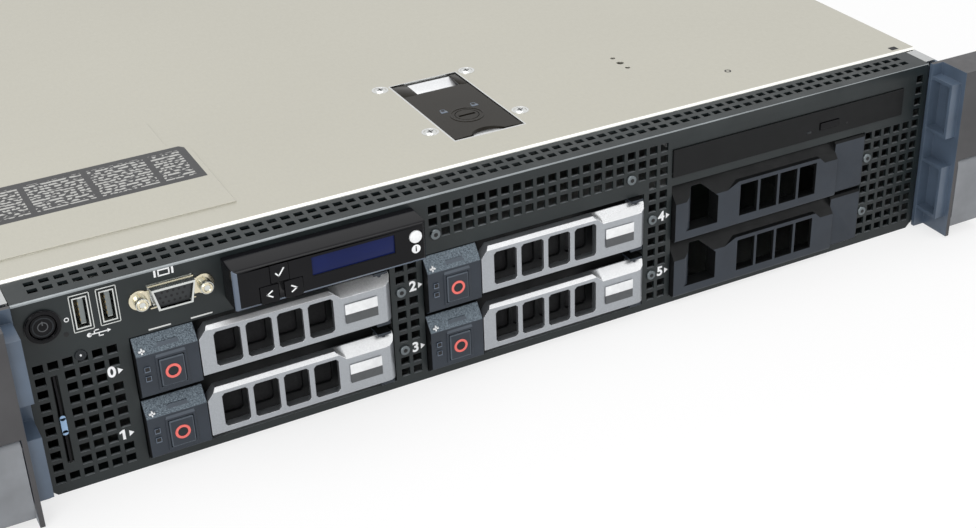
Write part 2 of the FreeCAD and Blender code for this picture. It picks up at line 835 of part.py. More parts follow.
def drive_blank(level):
    """Blanking module: bevelled front with a finger opening, windows, a stepped end and side skirts."""
    x0 = module_left(2)
    x1 = x0 + bay_width - 2 * module_side_gap
    z0 = module_base(level)
    top = z0 + module_height
    face = -blank_reach
    profile = [(face, z0 + 1.2), (face, z0 + blank_bevel), (3.2, top), (blank_back, top), (blank_back, z0),
               (face + 0.6, z0)]
    front = prism_yz(profile, x0, blank_step)
    profile = [(-0.8, z0 + 0.6), (-0.8, top - 1.0), (0.4, top), (blank_back, top), (blank_back, z0),
               (-0.4, z0)]
    end = prism_yz(profile, x0 + blank_step - 0.1, x1 - x0 - blank_step + 0.1)
    frame = prism_xz([(x0 + 25.0, z0 + 1.4), (x0 + 83.0, z0 + 1.4), (x0 + 83.0, z0 + 18.0),
                      (x0 + 79.0, z0 + 22.0), (x0 + 33.5, z0 + 22.0), (x0 + 25.0, z0 + 17.7)], face, 5.0)
    finger = prism_xz([(x0 + 10.6, z0 + 4.4), (x0 + 22.6, z0 + 4.4), (x0 + 22.6, z0 + 17.8),
                       (x0 + 15.6, z0 + 24.0), (x0 + 10.6, z0 + 24.0)], -5, 12)
    scoop = prism_xy([(x0 + 5.6, face - 1), (x0 + 10.7, face - 1), (x0 + 10.7, 1.6), (x0 + 8.4, face + 1.4),
                      (x0 + 5.6, face)], z0 + 4.4, 19.6)
    windows = [box(x0 + blank_window + blank_window_pitch * k,
                   x0 + blank_window + blank_window_pitch * k + 9.6,
                   -5, 10, z0 + 4.4, z0 + 20.2) for k in range(window_count)]
    hollow = box(x0 + 25.0, x0 + blank_step - 2.0, face + 1.8, blank_back + 1, z0 + 2.8, z0 + 18.4)
    skirts = [box(x, x + 1.4, blank_back - 0.4, 46.0, z0, top - 4.0) for x in (x0, x1 - 1.4)]
    return [join([join([front, end, frame]).cut([finger, scoop, hollow] + windows)] + skirts)]


def optical_case():
    """Open-fronted sheet case of the slim disc drive on the roof of the cage."""
    x0 = optical_left
    x1 = x0 + optical_width
    z0 = optical_bottom
    z1 = z0 + optical_height - 0.8
    shell = box(x0, x1, 2.0, optical_depth, z0, z1)
    hollow = box(x0 + optical_wall, x1 - optical_wall, 1.0, optical_depth - 3.0, z0 + optical_wall,
                 z1 - optical_wall)
    feet = [box(x, x + 6.0, y, y + 8.0, bay_top() + cage_sheet, z0 + 0.1)
            for x in (x0 + 4, x0 + 90) for y in (12.0, 110.0)]
    return [join([shell.cut(hollow)] + feet)]


def optical_tray():
    """Bezel and tray of the disc drive, with the disc well and the hub."""
    x0 = optical_left
    x1 = x0 + optical_width
    z0 = optical_bottom
    face = box(x0, x1, -0.8, -0.8 + optical_face, z0, z0 + optical_height)
    low = z0 + optical_wall + running_gap
    plate = box(x0 + 1.4, x1 - 1.4, -0.8, optical_depth - 5.0, low, low + 6.4)
    middle = (x0 + x1) / 2.0 - 2.0
    well = rod(disc_radius + 0.4, (middle, 64.0, low + 3.4), (0, 0, 1), 10)
    pocket = box(eject_x - eject_width / 2.0 - seat_gap, eject_x + eject_width / 2.0 + seat_gap, -2, 3.6,
                 eject_z() - eject_height / 2.0 - seat_gap, eject_z() + eject_height / 2.0 + seat_gap)
    hub = rod(7.4, (middle, 64.0, low + 3.2), (0, 0, 1), 2.6)
    return [join([join([face, plate]).cut([well, pocket]), hub])]


def eject_z():
    """Height of the eject button's centre."""
    return optical_bottom + 5.6


def eject_button():
    """Eject button in the disc drive's bezel."""
    return [box(eject_x - eject_width / 2.0, eject_x + eject_width / 2.0, -1.3, 2.2,
                eject_z() - eject_height / 2.0, eject_z() + eject_height / 2.0)]


# ---------------------------------------------------------------- control strip
def power_button():
    """Round power button on its collar."""
    front = rod(power_radius, (power_x, 1.6, power_z), (0, -1, 0), 2.2)
    stem = prism_xz(ring_points(2.4, 8, power_x, power_z), 1.4, 6.0)
    return [join([front, stem])]


def power_ring():
    """Collar around the power button, with the guide for its stem."""
    ring = rod(power_ring_radius, (power_x, 0, power_z), (0, -1, 0), 0.8)
    sleeve = rod(power_ring_radius - 1.2, (power_x, -0.1, power_z), (0, 1, 0), 8.6)
    bore = rod(power_radius + 0.3, (power_x, -3, power_z), (0, 1, 0), 8.0)
    guide = rod(2.4 + fit_gap * 2, (power_x, 4, power_z), (0, 1, 0), 10)
    return join([ring, sleeve]).cut([bore, guide])


def front_connectors():
    """Control board with the two serial-bus ports, the video port and the button collar."""
    board = box(-fascia_half + 4, lcd_left - 4, 5.4 + port_depth, 60.0, control_board_z,
                control_board_z + board_thickness)
    roof = bay_top() + cage_sheet
    spacers = [hexagon(2.8, x, y, roof, control_board_z)
               for x in (bay_left_edge(0) + 5.0, lcd_left - 9.0) for y in (27.0, 53.0)]
    parts = [board, power_ring()] + spacers
    for x in usb_x:
        low = port_z - usb_height / 2.0
        shell = box(x - usb_width / 2.0, x + usb_width / 2.0, -0.4, 5.0 + port_depth, low, low + usb_height)
        hollow = box(x - usb_width / 2.0 + port_shell, x + usb_width / 2.0 - port_shell, -1.4, port_depth,
                     low + port_shell, low + usb_height - port_shell)
        tongue = box(x - 0.4, x + 1.4, 1.0, port_depth + 1, low + 1.2, low + usb_height - 1.2)
        parts.append(join([shell.cut(hollow), tongue]))
    parts.append(video_port())
    return parts


def video_port():
    """Shell, pin face and jack posts of the front video port."""
    shell = Part.makeFace([vga_outline(0.0), vga_outline(-port_shell)],
                          "Part::FaceMakerBullseye").extrude(V(0, 8.0, 0))
    shell.translate(V(0, -4.0, 0))
    core = Part.makeFace([vga_outline(-port_shell)], "Part::FaceMakerBullseye").extrude(V(0, 7.0, 0))
    core.translate(V(0, -2.4, 0))
    back = box(vga_x - 15.4, vga_x + 15.4, fascia_sheet, fascia_sheet + 9.0, vga_z - 5.6, vga_z + 5.6)
    jacks = []
    for side in (-1, 1):
        x = vga_x + side * jack_spacing / 2.0
        jacks.append(rod(jack_neck, (x, -1, vga_z), (0, 1, 0), 4.0))
        jacks.append(rod(jack_radius, (x, 0, vga_z), (0, -1, 0), 4.6))
    return join([shell, core, back] + jacks)


def lcd_housing():
    """Housing of the display module, standing out of the fascia, with window and key pockets."""
    y0 = -lcd_reach
    bevel = 1.6
    face = rectangle_xz(lcd_left + bevel, lcd_right - bevel, lcd_bottom + bevel, lcd_top - 0.8, y0)
    rim = rectangle_xz(lcd_left, lcd_right, lcd_bottom, lcd_top, y0 + bevel)
    front = Part.makeLoft([face, rim], True)
    block = box(lcd_left, lcd_right, y0 + bevel, 0, lcd_bottom, lcd_top)
    neck = box(lcd_left + 1.5 + seat_gap, lcd_right - 1.5 - seat_gap, -0.1, lcd_depth_inside,
               lcd_bottom + 1.5 + seat_gap, lcd_top - 1.5 - seat_gap)
    cuts = [box(display_left, display_right, y0 - 1, y0 + display_recess, display_low, display_high)]
    half = nav_side / 2.0 + seat_gap
    for x, z in zip(nav_x, nav_z):
        cuts.append(box(x - half, x + half, y0 - 1, y0 + 4.4, z - half, z + half))
    cuts.append(rod(id_radius + 0.3, (id_x, y0 - 1, id_z), (0, 1, 0), 5.4))
    return [join([front, block, neck]).cut(cuts)]


def nav_button(k):
    """Square key of the display module."""
    half = nav_side / 2.0
    x = nav_x[k]
    z = nav_z[k]
    y0 = -lcd_reach
    return [box(x - half, x + half, y0 - 0.4, y0 + 3.2, z - half, z + half)]


def id_button():
    """Round locator button of the display module."""
    return [rod(id_radius, (id_x, -lcd_reach - 0.5, id_z), (0, 1, 0), 3.7)]


def info_tag():
    """Pull-out information tag with a grip lug, running in the fascia slot and a guide."""
    half = tag_thickness / 2.0
    low = tag_low + 0.5
    high = tag_high - 0.5
    outline = [(-0.6, low), (-0.6, high - 9), (0.4, high - 3), (0.4, high), (tag_depth, high),
               (tag_depth, low)]
    card = prism_yz(outline, tag_x - half, tag_thickness)
    grip = box(tag_x - half - 0.5, tag_x + half + 0.5, -0.9, -0.5, low + 13.0, low + 22.0)
    return [join([card, grip])]


def tag_guide():
    """Channel behind the fascia that holds the information tag."""
    outer = box(tag_x - 2.6, tag_x + 2.6, fascia_sheet, tag_depth + 4.0, tag_low - 2.0, tag_high + 2.0)
    inner = box(tag_x - tag_thickness / 2.0 - 0.3, tag_x + tag_thickness / 2.0 + 0.3, 0, tag_depth + 2.0,
                tag_low + 0.1, tag_high - 0.1)
    return [outer.cut(inner)]


# ---------------------------------------------------------------- rack ears
def ear_right():
    """Ear: moulded block, inner wall with two bezel catches, and the steel flange behind it."""
    outer = rack_width / 2.0
    base_x = fascia_half + 0.3
    upper = box(ear_inner, outer, -ear_reach, 0, lever_top, wall_top + 0.4)
    wall = box(ear_inner, ear_inner + ear_wall, -ear_reach, 0, 1.0, lever_top + 0.1)
    back = box(base_x, outer, -ear_wall, 0, 1.0, wall_top + 0.4)
    parts = [upper, wall, back]
    parts += [catch(z) for z in catch_bottoms]
    body = join(parts)
    outer_cheek = box(outer - cheek, outer, -ear_reach, -ear_reach + 2 * lever_eye, cheek_foot,
                      lever_top + 0.1)
    pin = rod(lever_pin_radius, (ear_inner + 0.5, lever_pivot_y(), lever_pivot_z), (1, 0, 0),
              outer - ear_inner - 1.0)
    slot = box(hook_left() - 0.4, hook_left() + hook_width + 0.4, -ear_wall - 1, flange_sheet + 1,
               lever_pivot_z - 14.0, lever_pivot_z)
    hole = rod(mount_screw_radius + mount_hole_room, (rack_hole_spacing / 2.0, -8, rack_hole_height),
               (0, 1, 0), 12)
    return [join([body, outer_cheek, pin]).cut([slot, hole]), ear_flange([slot, hole])]


def lever_pivot_y():
    """Hinge axis of the ear lever, its eye flush with the ear's front."""
    return -ear_reach + lever_eye


def hook_left():
    """Inner side of the lever's hook."""
    return ear_inner + ear_wall + 1.2


def catch(z):
    """Open catch on the ear's inner wall that takes a bezel hook."""
    x0 = ear_inner - catch_width
    outer = box(x0, ear_inner + 0.1, -catch_front, -1.0, z, z + catch_height)
    inner = box(x0 - 1, ear_inner, -catch_front + catch_wall, -ear_wall, z + catch_wall,
                z + catch_height - catch_wall)
    return outer.cut(inner)


def ear_flange(holes):
    """Angled steel bracket behind the ear, riveted to the side wall."""
    plate = box(body_half, rack_width / 2.0, 0, flange_sheet, 2.0, wall_top - 1.0)
    leg = box(body_half, body_half + flange_sheet, 0, flange_leg, 2.0, wall_top - 1.0)
    return join([plate, leg]).cut(holes)


def ear_latch_right():
    """Release lever of the ear with its hook, hinged below the ear block."""
    outer = rack_width / 2.0
    x0 = ear_inner + ear_wall + running_gap
    eye_end = outer - cheek - running_gap
    y0 = -ear_reach
    pivot = lever_pivot_y()
    plate = box(x0, outer, y0, y0 + lever_eye, lever_bottom, cheek_foot - lever_shoulder)
    upper = box(x0, eye_end, y0, y0 + lever_eye, lever_bottom, lever_pivot_z)
    side = box(outer - 1.6, outer, y0, -4.6, lever_bottom, cheek_foot - lever_shoulder)
    eye = rod(lever_eye, (x0, pivot, lever_pivot_z), (1, 0, 0), eye_end - x0)
    z = lever_pivot_z
    hook = prism_yz([(pivot, z - 1.0), (hook_reach, z - 1.6), (hook_reach, z - 6.6), (2.6, z - 6.6),
                     (2.6, z - 4.4), (pivot, z - 4.4)], hook_left(), hook_width)
    slope = prism_yz([(y0 - 1, lever_bottom - 1), (y0 - 1, lever_bottom + 7), (y0, lever_bottom + 7),
                      (y0 + 2.0, lever_bottom), (y0 + 2.0, lever_bottom - 1)], x0 - 1, outer - x0 + 2)
    bore = rod(lever_pin_radius + fit_gap, (x0 - 1, pivot, z), (1, 0, 0), outer - x0 + 2)
    return [join([join([plate, upper, side, eye]).cut(slope), hook]).cut(bore)]


# ---------------------------------------------------------------- inside
def motherboard():
    """Main board with its two processor sockets and a row of slots."""
    top = board_top()
    board = box(board_left, board_right, board_front, body_depth - 12.0, board_lift, top)
    pieces = [board]
    for x in sink_x:
        pieces.append(box(x - 24, x + 24, sink_front + sink_depth / 2.0 - 24,
                          sink_front + sink_depth / 2.0 + 24,
                          top, top + 3.0))
    pieces.append(box(150.0, 184.0, 560.0, 594.0, top, top + 4.0))
    return pieces


def heat_sinks():
    """Two finned coolers standing on the processor sockets."""
    sinks = []
    for x in sink_x:
        base = box(x - sink_width / 2.0, x + sink_width / 2.0, sink_front, sink_front + sink_depth,
                   board_top() + 3.0, board_top() + 8.0)
        pitch = (sink_width - 1.0) / (sink_fins - 1)
        fins = [box(x - sink_width / 2.0 + k * pitch, x - sink_width / 2.0 + k * pitch + 1.0, sink_front,
                    sink_front + sink_depth, board_top() + 7.9, board_top() + 3.0 + sink_height)
                for k in range(sink_fins)]
        sinks.append(join([base] + fins))
    return sinks


def plug_in_boards():
    """Memory modules in their sockets and the upright riser boards with their card slots."""
    return memory_modules() + riser_cards()


def memory_modules():
    """Two banks of memory modules in their sockets."""
    pieces = []
    y0 = sink_front + sink_depth + 14.0
    for x_start in (sink_x[0] - sink_width / 2.0, sink_x[1] - sink_width / 2.0):
        for k in range(dimm_rows):
            x = x_start + 6.0 + k * dimm_pitch
            pieces.append(box(x - 3.0, x + 3.0, y0, y0 + dimm_length + 8, board_top(), board_top() + 7.0))
            pieces.append(box(x - 0.6, x + 0.6, y0 + 4.0, y0 + 4.0 + dimm_length, board_top() + 7.0,
                              board_top() + dimm_height))
    return pieces


def riser_cards():
    """Two upright riser boards with their card slots, each in a folded bracket."""
    pieces = []
    for x in (slot_columns[0] + slot_width + 4.0, slot_columns[1] - 8.0 + 2.0):
        y0 = 560.0
        y1 = body_depth - 20.0
        pieces.append(box(x, x + board_thickness, y0, y1, board_top(), 80.0))
    for column, side in ((0, -1), (1, 1)):
        x = (slot_columns[0] + slot_width + 4.0) if side < 0 else slot_columns[1] - 6.0 + board_thickness
        for z in slot_bottoms:
            low = z + slot_height / 2.0 - 4.0
            x0 = x - 11.0 if side < 0 else x
            pieces.append(box(x0, x0 + 11.0, 575.0, 660.0, low, low + 8.0))
    return pieces


def fan_left_edge(k):
    """Left side of fan frame k."""
    span = (fan_count - 1) * fan_pitch + fan_frame_side
    return k * fan_pitch - span / 2.0


def fan_axis(k):
    """Centre of fan k as (x, z)."""
    return (fan_left_edge(k) + fan_frame_side / 2.0, board_lift + fan_frame_side / 2.0)


def fan_frames():
    """Square fan frames in a folded tray, each with a bore, four struts and a motor seat."""
    pieces = []
    for k in range(fan_count):
        x, z = fan_axis(k)
        half = fan_frame_side / 2.0
        outline = rectangle_xz(x - half, x + half, z - half, z + half)
        mouth = ring_points(fan_bore / math.cos(math.pi / bore_sides), bore_sides, x, z)
        ring = sheet_xz([outline], fan_front, fan_depth).cut(prism_xz(mouth, fan_front - 1, fan_depth + 2))
        back = fan_front + fan_depth
        bar = strut_width / 2.0
        struts = [box(x - half, x + half, back, back + strut_depth, z - bar, z + bar),
                  box(x - bar, x + bar, back, back + strut_depth, z - half, z + half)]
        seat = box(x - fan_hub + 2, x + fan_hub - 2, back, back + strut_depth, z - fan_hub + 2,
                   z + fan_hub - 2)
        shaft = rod(shaft_radius, (x, fan_front + 8, z), (0, 1, 0), fan_depth - 7)
        pieces.append(ring)
        pieces.append(join(struts + [seat, shaft]))
    x0 = fan_left_edge(0)
    x1 = fan_left_edge(fan_count - 1) + fan_frame_side
    pieces.append(box(x0, x1, fan_front, fan_front + fan_depth, pan_sheet, board_lift))
    return pieces


def fan_rotor(k):
    """Hub and swept blades of one fan."""
    x, z = fan_axis(k)
    y0 = fan_front + 4.0
    depth = fan_depth - 4.6
    hub = prism_xz(ring_points(fan_hub, hub_sides, x, z), y0, depth)
    blades = []
    for n in range(fan_blades):
        angle = 360.0 * n / fan_blades
        blade = fan_blade(y0, depth)
        blade.rotate(V(0, 0, 0), V(0, 1, 0), angle)
        blade.translate(V(x, 0, z))
        blades.append(blade)
    bore = rod(shaft_radius + fit_gap, (x, fan_front + 7.6, z), (0, 1, 0), depth)
    return [join([hub] + blades).cut(bore)]


def fan_blade(y0, depth):
    """One slanted blade, standing upright from the hub to just short of the bore."""
    lean = 6.0
    points = [(-lean - 0.8, y0 + 2), (-lean + 0.8, y0 + 2), (lean + 0.8, y0 + depth - 2),
              (lean - 0.8, y0 + depth - 2)]
    tip = math.sqrt((fan_bore - fan_tip_gap) ** 2 - (lean + 0.8) ** 2)
    return prism_xy(points, fan_hub - 2.0, tip - fan_hub + 2.0)


# ---------------------------------------------------------------- rear
def psu(k):
    """Power supply: case with a fan opening, a mains inlet and a bail handle."""
    x0 = psu_x(k)
    x1 = x0 + psu_width
    z0 = pan_sheet + 0.3
    z1 = z0 + psu_height
    back = body_depth + 1.4
    case = box(x0, x1, back - psu_depth, back, z0, z1)
    hollow = box(x0 + psu_sheet, x1 - psu_sheet, back - psu_depth + psu_sheet, back - psu_front,
                 z0 + psu_sheet,
                 z1 - psu_sheet)
    middle = (x0 + x1) / 2.0
    grille = rod(15.0, (middle, back - psu_front - 1, z1 - 20.0), (0, 1, 0), psu_front + 2)
    bar = box(x0 + 2, x1 - 2, back - psu_front, back - psu_front + 2.0, z1 - 22.0, z1 - 18.0)
    inlet = box(middle - 13.6, middle + 13.6, back - inlet_depth, back + 1, z0 + 8.0, z0 + 28.0)
    pins = [box(middle + dx - 1.0, middle + dx + 1.0, back - inlet_depth - 0.5, back - 4.0,
                z0 + 18.0 + dz - 2.0, z0 + 18.0 + dz + 2.0)
            for dx, dz in ((-7.0, -2.0), (0.0, 3.0), (7.0, -2.0))]
    pocket = box(x1 - 6.6, x1 + 1, back - 15.0, back + 1, z0 + 32.0, z0 + 46.0)
    handle_z = z0 + 39.0
    bail = prism_xy([(x0 + 4, back - 0.1), (x0 + 4, back + psu_reach - 1.4),
                     (x0 + 27, back + psu_reach - 1.4),
                     (x0 + 27, back - 0.1), (x0 + 23.6, back - 0.1), (x0 + 23.6, back + psu_reach - 5.0),
                     (x0 + 7.4, back + psu_reach - 5.0), (x0 + 7.4, back - 0.1)], handle_z - 5.0, 10.0)
    return [join([case.cut([hollow, grille, inlet, pocket]), bar] + pins + [bail])]


def psu_latch(k):
    """Release tab of a power supply, sliding sideways in its pocket."""
    x1 = psu_x(k) + psu_width
    z0 = pan_sheet + 0.3
    back = body_depth + 1.4
    stem = box(x1 - 4.4, x1 - 2.4, back - 14.7, back + 9.0, z0 + 32.3, z0 + 45.7)
    thumb = prism_xy([(x1 - 4.4, back + 2.0), (x1 - 7.4, back + 9.0), (x1 - 2.4, back + 9.0),
                      (x1 - 2.4, back + 2.0)],
                     z0 + 32.3, 13.4)
    return [join([stem, thumb])]


def rear_connectors():
    """Connector shells on the rear edge of the motherboard."""
    pieces = []
    z0 = board_top()
    for k, (x, width, height) in enumerate(rear_ports()):
        shell = box(x, x + width, body_depth - 16.0, body_depth + 0.6, z0, z0 + height)
        if k < 2:
            collar = prism_xz([(x + 6.4, z0 + 2.4), (x + width - 6.4, z0 + 2.4),
                               (x + width - 5.0, z0 + height - 2.0),
                               (x + 5.0, z0 + height - 2.0)], body_depth + 0.5, 4.5)
            pieces.append(join([shell, collar]))
            continue
        mouth = box(x + 1.2, x + width - 1.2, body_depth - 11.0, body_depth + 2, z0 + 1.2,
                    z0 + height - 1.2)
        shell = shell.cut(mouth)
        if k == 2:
            tongues = [box(x + 2.4, x + width - 2.4, body_depth - 11.5, body_depth - 1.0, z, z + 1.8)
                       for z in (z0 + 3.6, z0 + 9.4)]
            shell = join([shell] + tongues + [box(x, x + width, body_depth - 11.5, body_depth + 0.6,
                                                  z0 + 7.0, z0 + 8.0)])
        pieces.append(shell)
    return pieces


def slot_covers():
    """Blanking brackets over the expansion slots, with vent slots."""
    covers = []
    y0 = body_depth - pan_sheet - 1.0
    for x in slot_columns:
        for z in slot_bottoms:
            wires = [rectangle_xz(x, x + slot_width, z, z + slot_height)]
            for k in range(3):
                x0 = x + 10 + 35.0 * k
                wires.append(rectangle_xz(x0, x0 + 30.0, z + 6.0, z + slot_height - 6.0))
            covers.append(sheet_xz(wires, y0, 1.0))
    return covers


def main():
    """Write every node of the server."""
    os.makedirs("parts", exist_ok=True)
    single = {
        "chassis_pan": chassis_pan, "rear_panel": rear_panel, "front_fascia": front_fascia,
        "rack_screws": rack_screws, "drive_cage": drive_cage, "backplane": backplane,
        "top_cover": top_cover, "cover_runners": cover_runners, "latch_base": latch_base,
        "latch_lever": latch_lever, "latch_lock": latch_lock,
        "motherboard": motherboard, "heat_sinks": heat_sinks, "plug_in_boards": plug_in_boards,
        "fan_frames": fan_frames, "rear_connectors": rear_connectors,
        "slot_covers": slot_covers, "front_connectors": front_connectors, "lcd_housing": lcd_housing,
        "id_button": id_button, "power_button": power_button, "info_tag": info_tag, "tag_guide": tag_guide,
        "optical_case": optical_case, "optical_tray": optical_tray, "eject_button": eject_button,
        "ear_right": ear_right, "ear_latch_right": ear_latch_right,
    }
    for name, builder in single.items():
        save(name, builder())
    save("ear_left", [mirrored(shape) for shape in ear_right()])
    save("ear_latch_left", [mirrored(shape) for shape in ear_latch_right()])
    for k, name in enumerate(("select", "left", "right")):
        save("nav_button_" + name, nav_button(k))
    for k in range(fan_count):
        save("fan_rotor_%d" % (k + 1), fan_rotor(k))
    for k in (0, 1):
        save("psu_%d" % (k + 1), psu(k))
        save("psu_latch_%d" % (k + 1), psu_latch(k))
    for slot, (column, level) in enumerate(((0, 1), (0, 0), (1, 1), (1, 0))):
        save("drive_carrier_%d" % slot, drive_carrier(column, level))
        save("drive_handle_%d" % slot, drive_handle(column, level))
        save("release_button_%d" % slot, release_button(column, level))
        save("hard_disk_%d" % slot, hard_disk(column, level))
    save("drive_blank_4", drive_blank(1))
    save("drive_blank_5", drive_blank(0))


main()
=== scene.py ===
"""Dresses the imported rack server: finishes for its panels, small fittings, marks and a plain stage."""

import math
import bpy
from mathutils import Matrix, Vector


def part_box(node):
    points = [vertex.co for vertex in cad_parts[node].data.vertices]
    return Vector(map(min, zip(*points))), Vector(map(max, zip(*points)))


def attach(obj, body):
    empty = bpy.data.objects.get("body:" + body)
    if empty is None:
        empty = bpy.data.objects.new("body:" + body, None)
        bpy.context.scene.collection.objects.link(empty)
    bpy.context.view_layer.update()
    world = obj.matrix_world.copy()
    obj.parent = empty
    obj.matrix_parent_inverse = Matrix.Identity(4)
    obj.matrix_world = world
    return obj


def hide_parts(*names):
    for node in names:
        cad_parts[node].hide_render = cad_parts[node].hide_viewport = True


bl_info = {
    "name": "Rack Server Dresser",
    "version": (1, 0, 0),
    "blender": (4, 5, 0),
    "location": "View3D > Sidebar > Rack Server",
    "description": "Adds finishes, fittings, marks and a stage to the packed rack server",
    "category": "Object",
}

from contextlib import contextmanager

import bmesh
import bpy
from bpy.props import FloatProperty, FloatVectorProperty, IntProperty, PointerProperty
from mathutils import Matrix, Vector

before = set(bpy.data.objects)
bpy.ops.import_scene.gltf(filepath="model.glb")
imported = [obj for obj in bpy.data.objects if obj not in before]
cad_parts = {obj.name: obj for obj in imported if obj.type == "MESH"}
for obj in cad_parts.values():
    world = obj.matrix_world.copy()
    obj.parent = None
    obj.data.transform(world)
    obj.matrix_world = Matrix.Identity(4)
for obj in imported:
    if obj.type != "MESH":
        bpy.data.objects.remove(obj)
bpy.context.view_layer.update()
MM = 0.001
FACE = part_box("chassis_pan")[0].y - 3.0 * MM       # plane of the front panel
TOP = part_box("top_cover")[1].z                     # top of the lid's raised panel
LID = TOP / MM - 0.6                               # flat of the lid around that panel, in millimetres
SLOTS = range(4)
BLANKS = (4, 5)
FANS = range(1, 6)
SUPPLIES = (1, 2)
OUT, BACK, UP = (0, -1, 0), (0, 1, 0), (0, 0, 1)   # directions

# Places in millimetres: from the middle, from the front panel and from the underside.
LABEL = ((-214.0, 61.0), (-117.8, 94.0))           # plain dark label on the lid
LIP = 18.4                                         # depth of the lid's front lip, which is painted near-white as a painted highlight
LATCH_SCREWS = ((-20.6, 23.6), (52.0, 104.4))      # columns and rows of the screws round the latch
FLANGE_ROWS = (6.9, 12.6)                          # rows of square holes along the top edge
SLOT_MARKS = {"0": (-181.2, 47.1), "1": (-181.1, 18.1), "2": (-55.5, 46.8), "3": (-55.9, 17.3),
              "4": (65.8, 45.9), "5": (65.8, 18.0)}
NUMERAL_ONE = ((-0.9, -2.2), (0.2, -2.2), (0.2, 2.3), (-0.6, 2.3), (-2.0, 1.5), (-2.0, 0.7), (-0.9, 1.1))
# Bars of the printed signs: left, foot, right and head.
VIDEO_SIGN = ((-160.4, 82.2, -159.6, 85.0), (-153.6, 82.2, -152.8, 85.0), (-158.9, 82.2, -154.3, 82.7),
              (-158.9, 84.5, -154.3, 85.0), (-158.9, 82.6, -158.4, 84.6), (-154.8, 82.6, -154.3, 84.6))
BUS_SIGN = ((-187.4, 65.5, -180.4, 65.9), (-185.6, 65.9, -185.2, 67.3), (-185.6, 66.9, -183.6, 67.3),
            (-184.0, 64.1, -183.6, 65.5), (-183.8, 64.1, -182.2, 64.5))
INDICATOR = (-191.9, 58.4)
PANEL_SCREWS = [(x, z) for x in (-61.5, 60.4, 180.2) for z in (17.7, 45.7)] + [(-44.8, 68.1), (49.2, 68.1)]
BUS_PORTS = (-188.8, -178.8)
BUS_LEVEL = 76.0
VIDEO_PORT = (-154.7, 74.6)
VIDEO_FACE = ((-7.5, 3.4), (-6.9, 3.8), (6.9, 3.8), (7.5, 3.4), (5.9, -3.4), (5.3, -3.8), (-5.3, -3.8),
              (-5.9, -3.4))
JACK = 12.5                                        # from the video port's middle to each jack post
COLLAR = -196.0                                    # right end of the power button's collar
KEY_SIGNS = {"select": ((-1.5, 0.1), (-0.4, -1.2), (1.7, 1.8)),
             "left": ((0.9, 1.3), (-1.1, 0.0), (0.9, -1.3)),
             "right": ((-0.9, 1.3), (1.1, 0.0), (-0.9, -1.3))}
INLET = ((-13.5, 8.1, 13.5, 9.2), (12.4, 8.1, 13.5, 27.9), (-13.5, 26.8, 13.5, 27.9),
         (-13.5, 8.1, -12.4, 27.9))
MEMORY = (400.0, 533.4, 39.6)                      # front, back and top of the memory modules
# Packages of the system board: left, front, width, depth and height.
PACKAGES = ((150, 300, 26, 26, 2.2), (150, 350, 14, 20, 1.6), (160, 420, 20, 14, 1.6),
            (158, 470, 12, 12, 1.4), (-100, 300, 9, 60, 12), (-100, 380, 9, 60, 12), (186, 300, 10, 60, 9),
            (20, 560, 24, 24, 2.4), (-60, 580, 16, 16, 1.8), (105, 570, 14, 22, 1.8), (190, 470, 9, 44, 9))


# ---------------- places
def at(x, y, z):
    """A point given in millimetres, its depth measured from the front panel."""
    return Vector((x * MM, FACE + y * MM, z * MM))


def corner(node, end=0):
    """Lowest corner of a CAD node in millimetres, its depth measured from the front panel."""
    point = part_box(node)[end]
    return point.x / MM, (point.y - FACE) / MM, point.z / MM


def far_corner(node):
    """Highest corner of a CAD node, in the same way."""
    return corner(node, 1)


def centre(node):
    """Middle in width, front, and middle in height of a CAD node."""
    low, high = corner(node), far_corner(node)
    return (low[0] + high[0]) / 2, low[1], (low[2] + high[2]) / 2


# ---------------- shader maths
class Wire:
    """A socket whose arithmetic adds Math nodes to its tree."""

    def __init__(self, sheet, socket):
        self.sheet = sheet
        self.socket = socket

    def _math(self, operation, first, second=0.0):
        return self.sheet.node("ShaderNodeMath", {"operation": operation}, {0: first, 1: second})

    def __add__(self, other):
        return self._math("ADD", self, other)

    def __sub__(self, other):
        return self._math("SUBTRACT", self, other)

    def __rsub__(self, other):
        return self._math("SUBTRACT", other, self)

    def __mul__(self, other):
        return self._math("MULTIPLY", self, other)

    __radd__ = __add__
    __rmul__ = __mul__

    def over(self, limit):
        """1 where the value is over the limit."""
        return self._math("GREATER_THAN", self, limit)

    def under(self, limit):
        """1 where the value is under the limit."""
        return self._math("LESS_THAN", self, limit)

    def fraction(self):
        """The part after the decimal point."""
        return self._math("FRACT", self)


class Sheet:
    """A node tree that grows by one method."""

    def __init__(self, tree):
        self.tree = tree

    def node(self, kind, settings=None, values=None, output=0):
        """Adds a node, sets it up and fills its sockets with numbers or links."""
        made = self.tree.nodes.new(kind)
        for key, value in (settings or {}).items():
            setattr(made, key, value)
        for key, value in (values or {}).items():
            if isinstance(value, Wire):
                self.tree.links.new(value.socket, made.inputs[key])
            else:
                made.inputs[key].default_value = value
        return Wire(self, made.outputs[output])


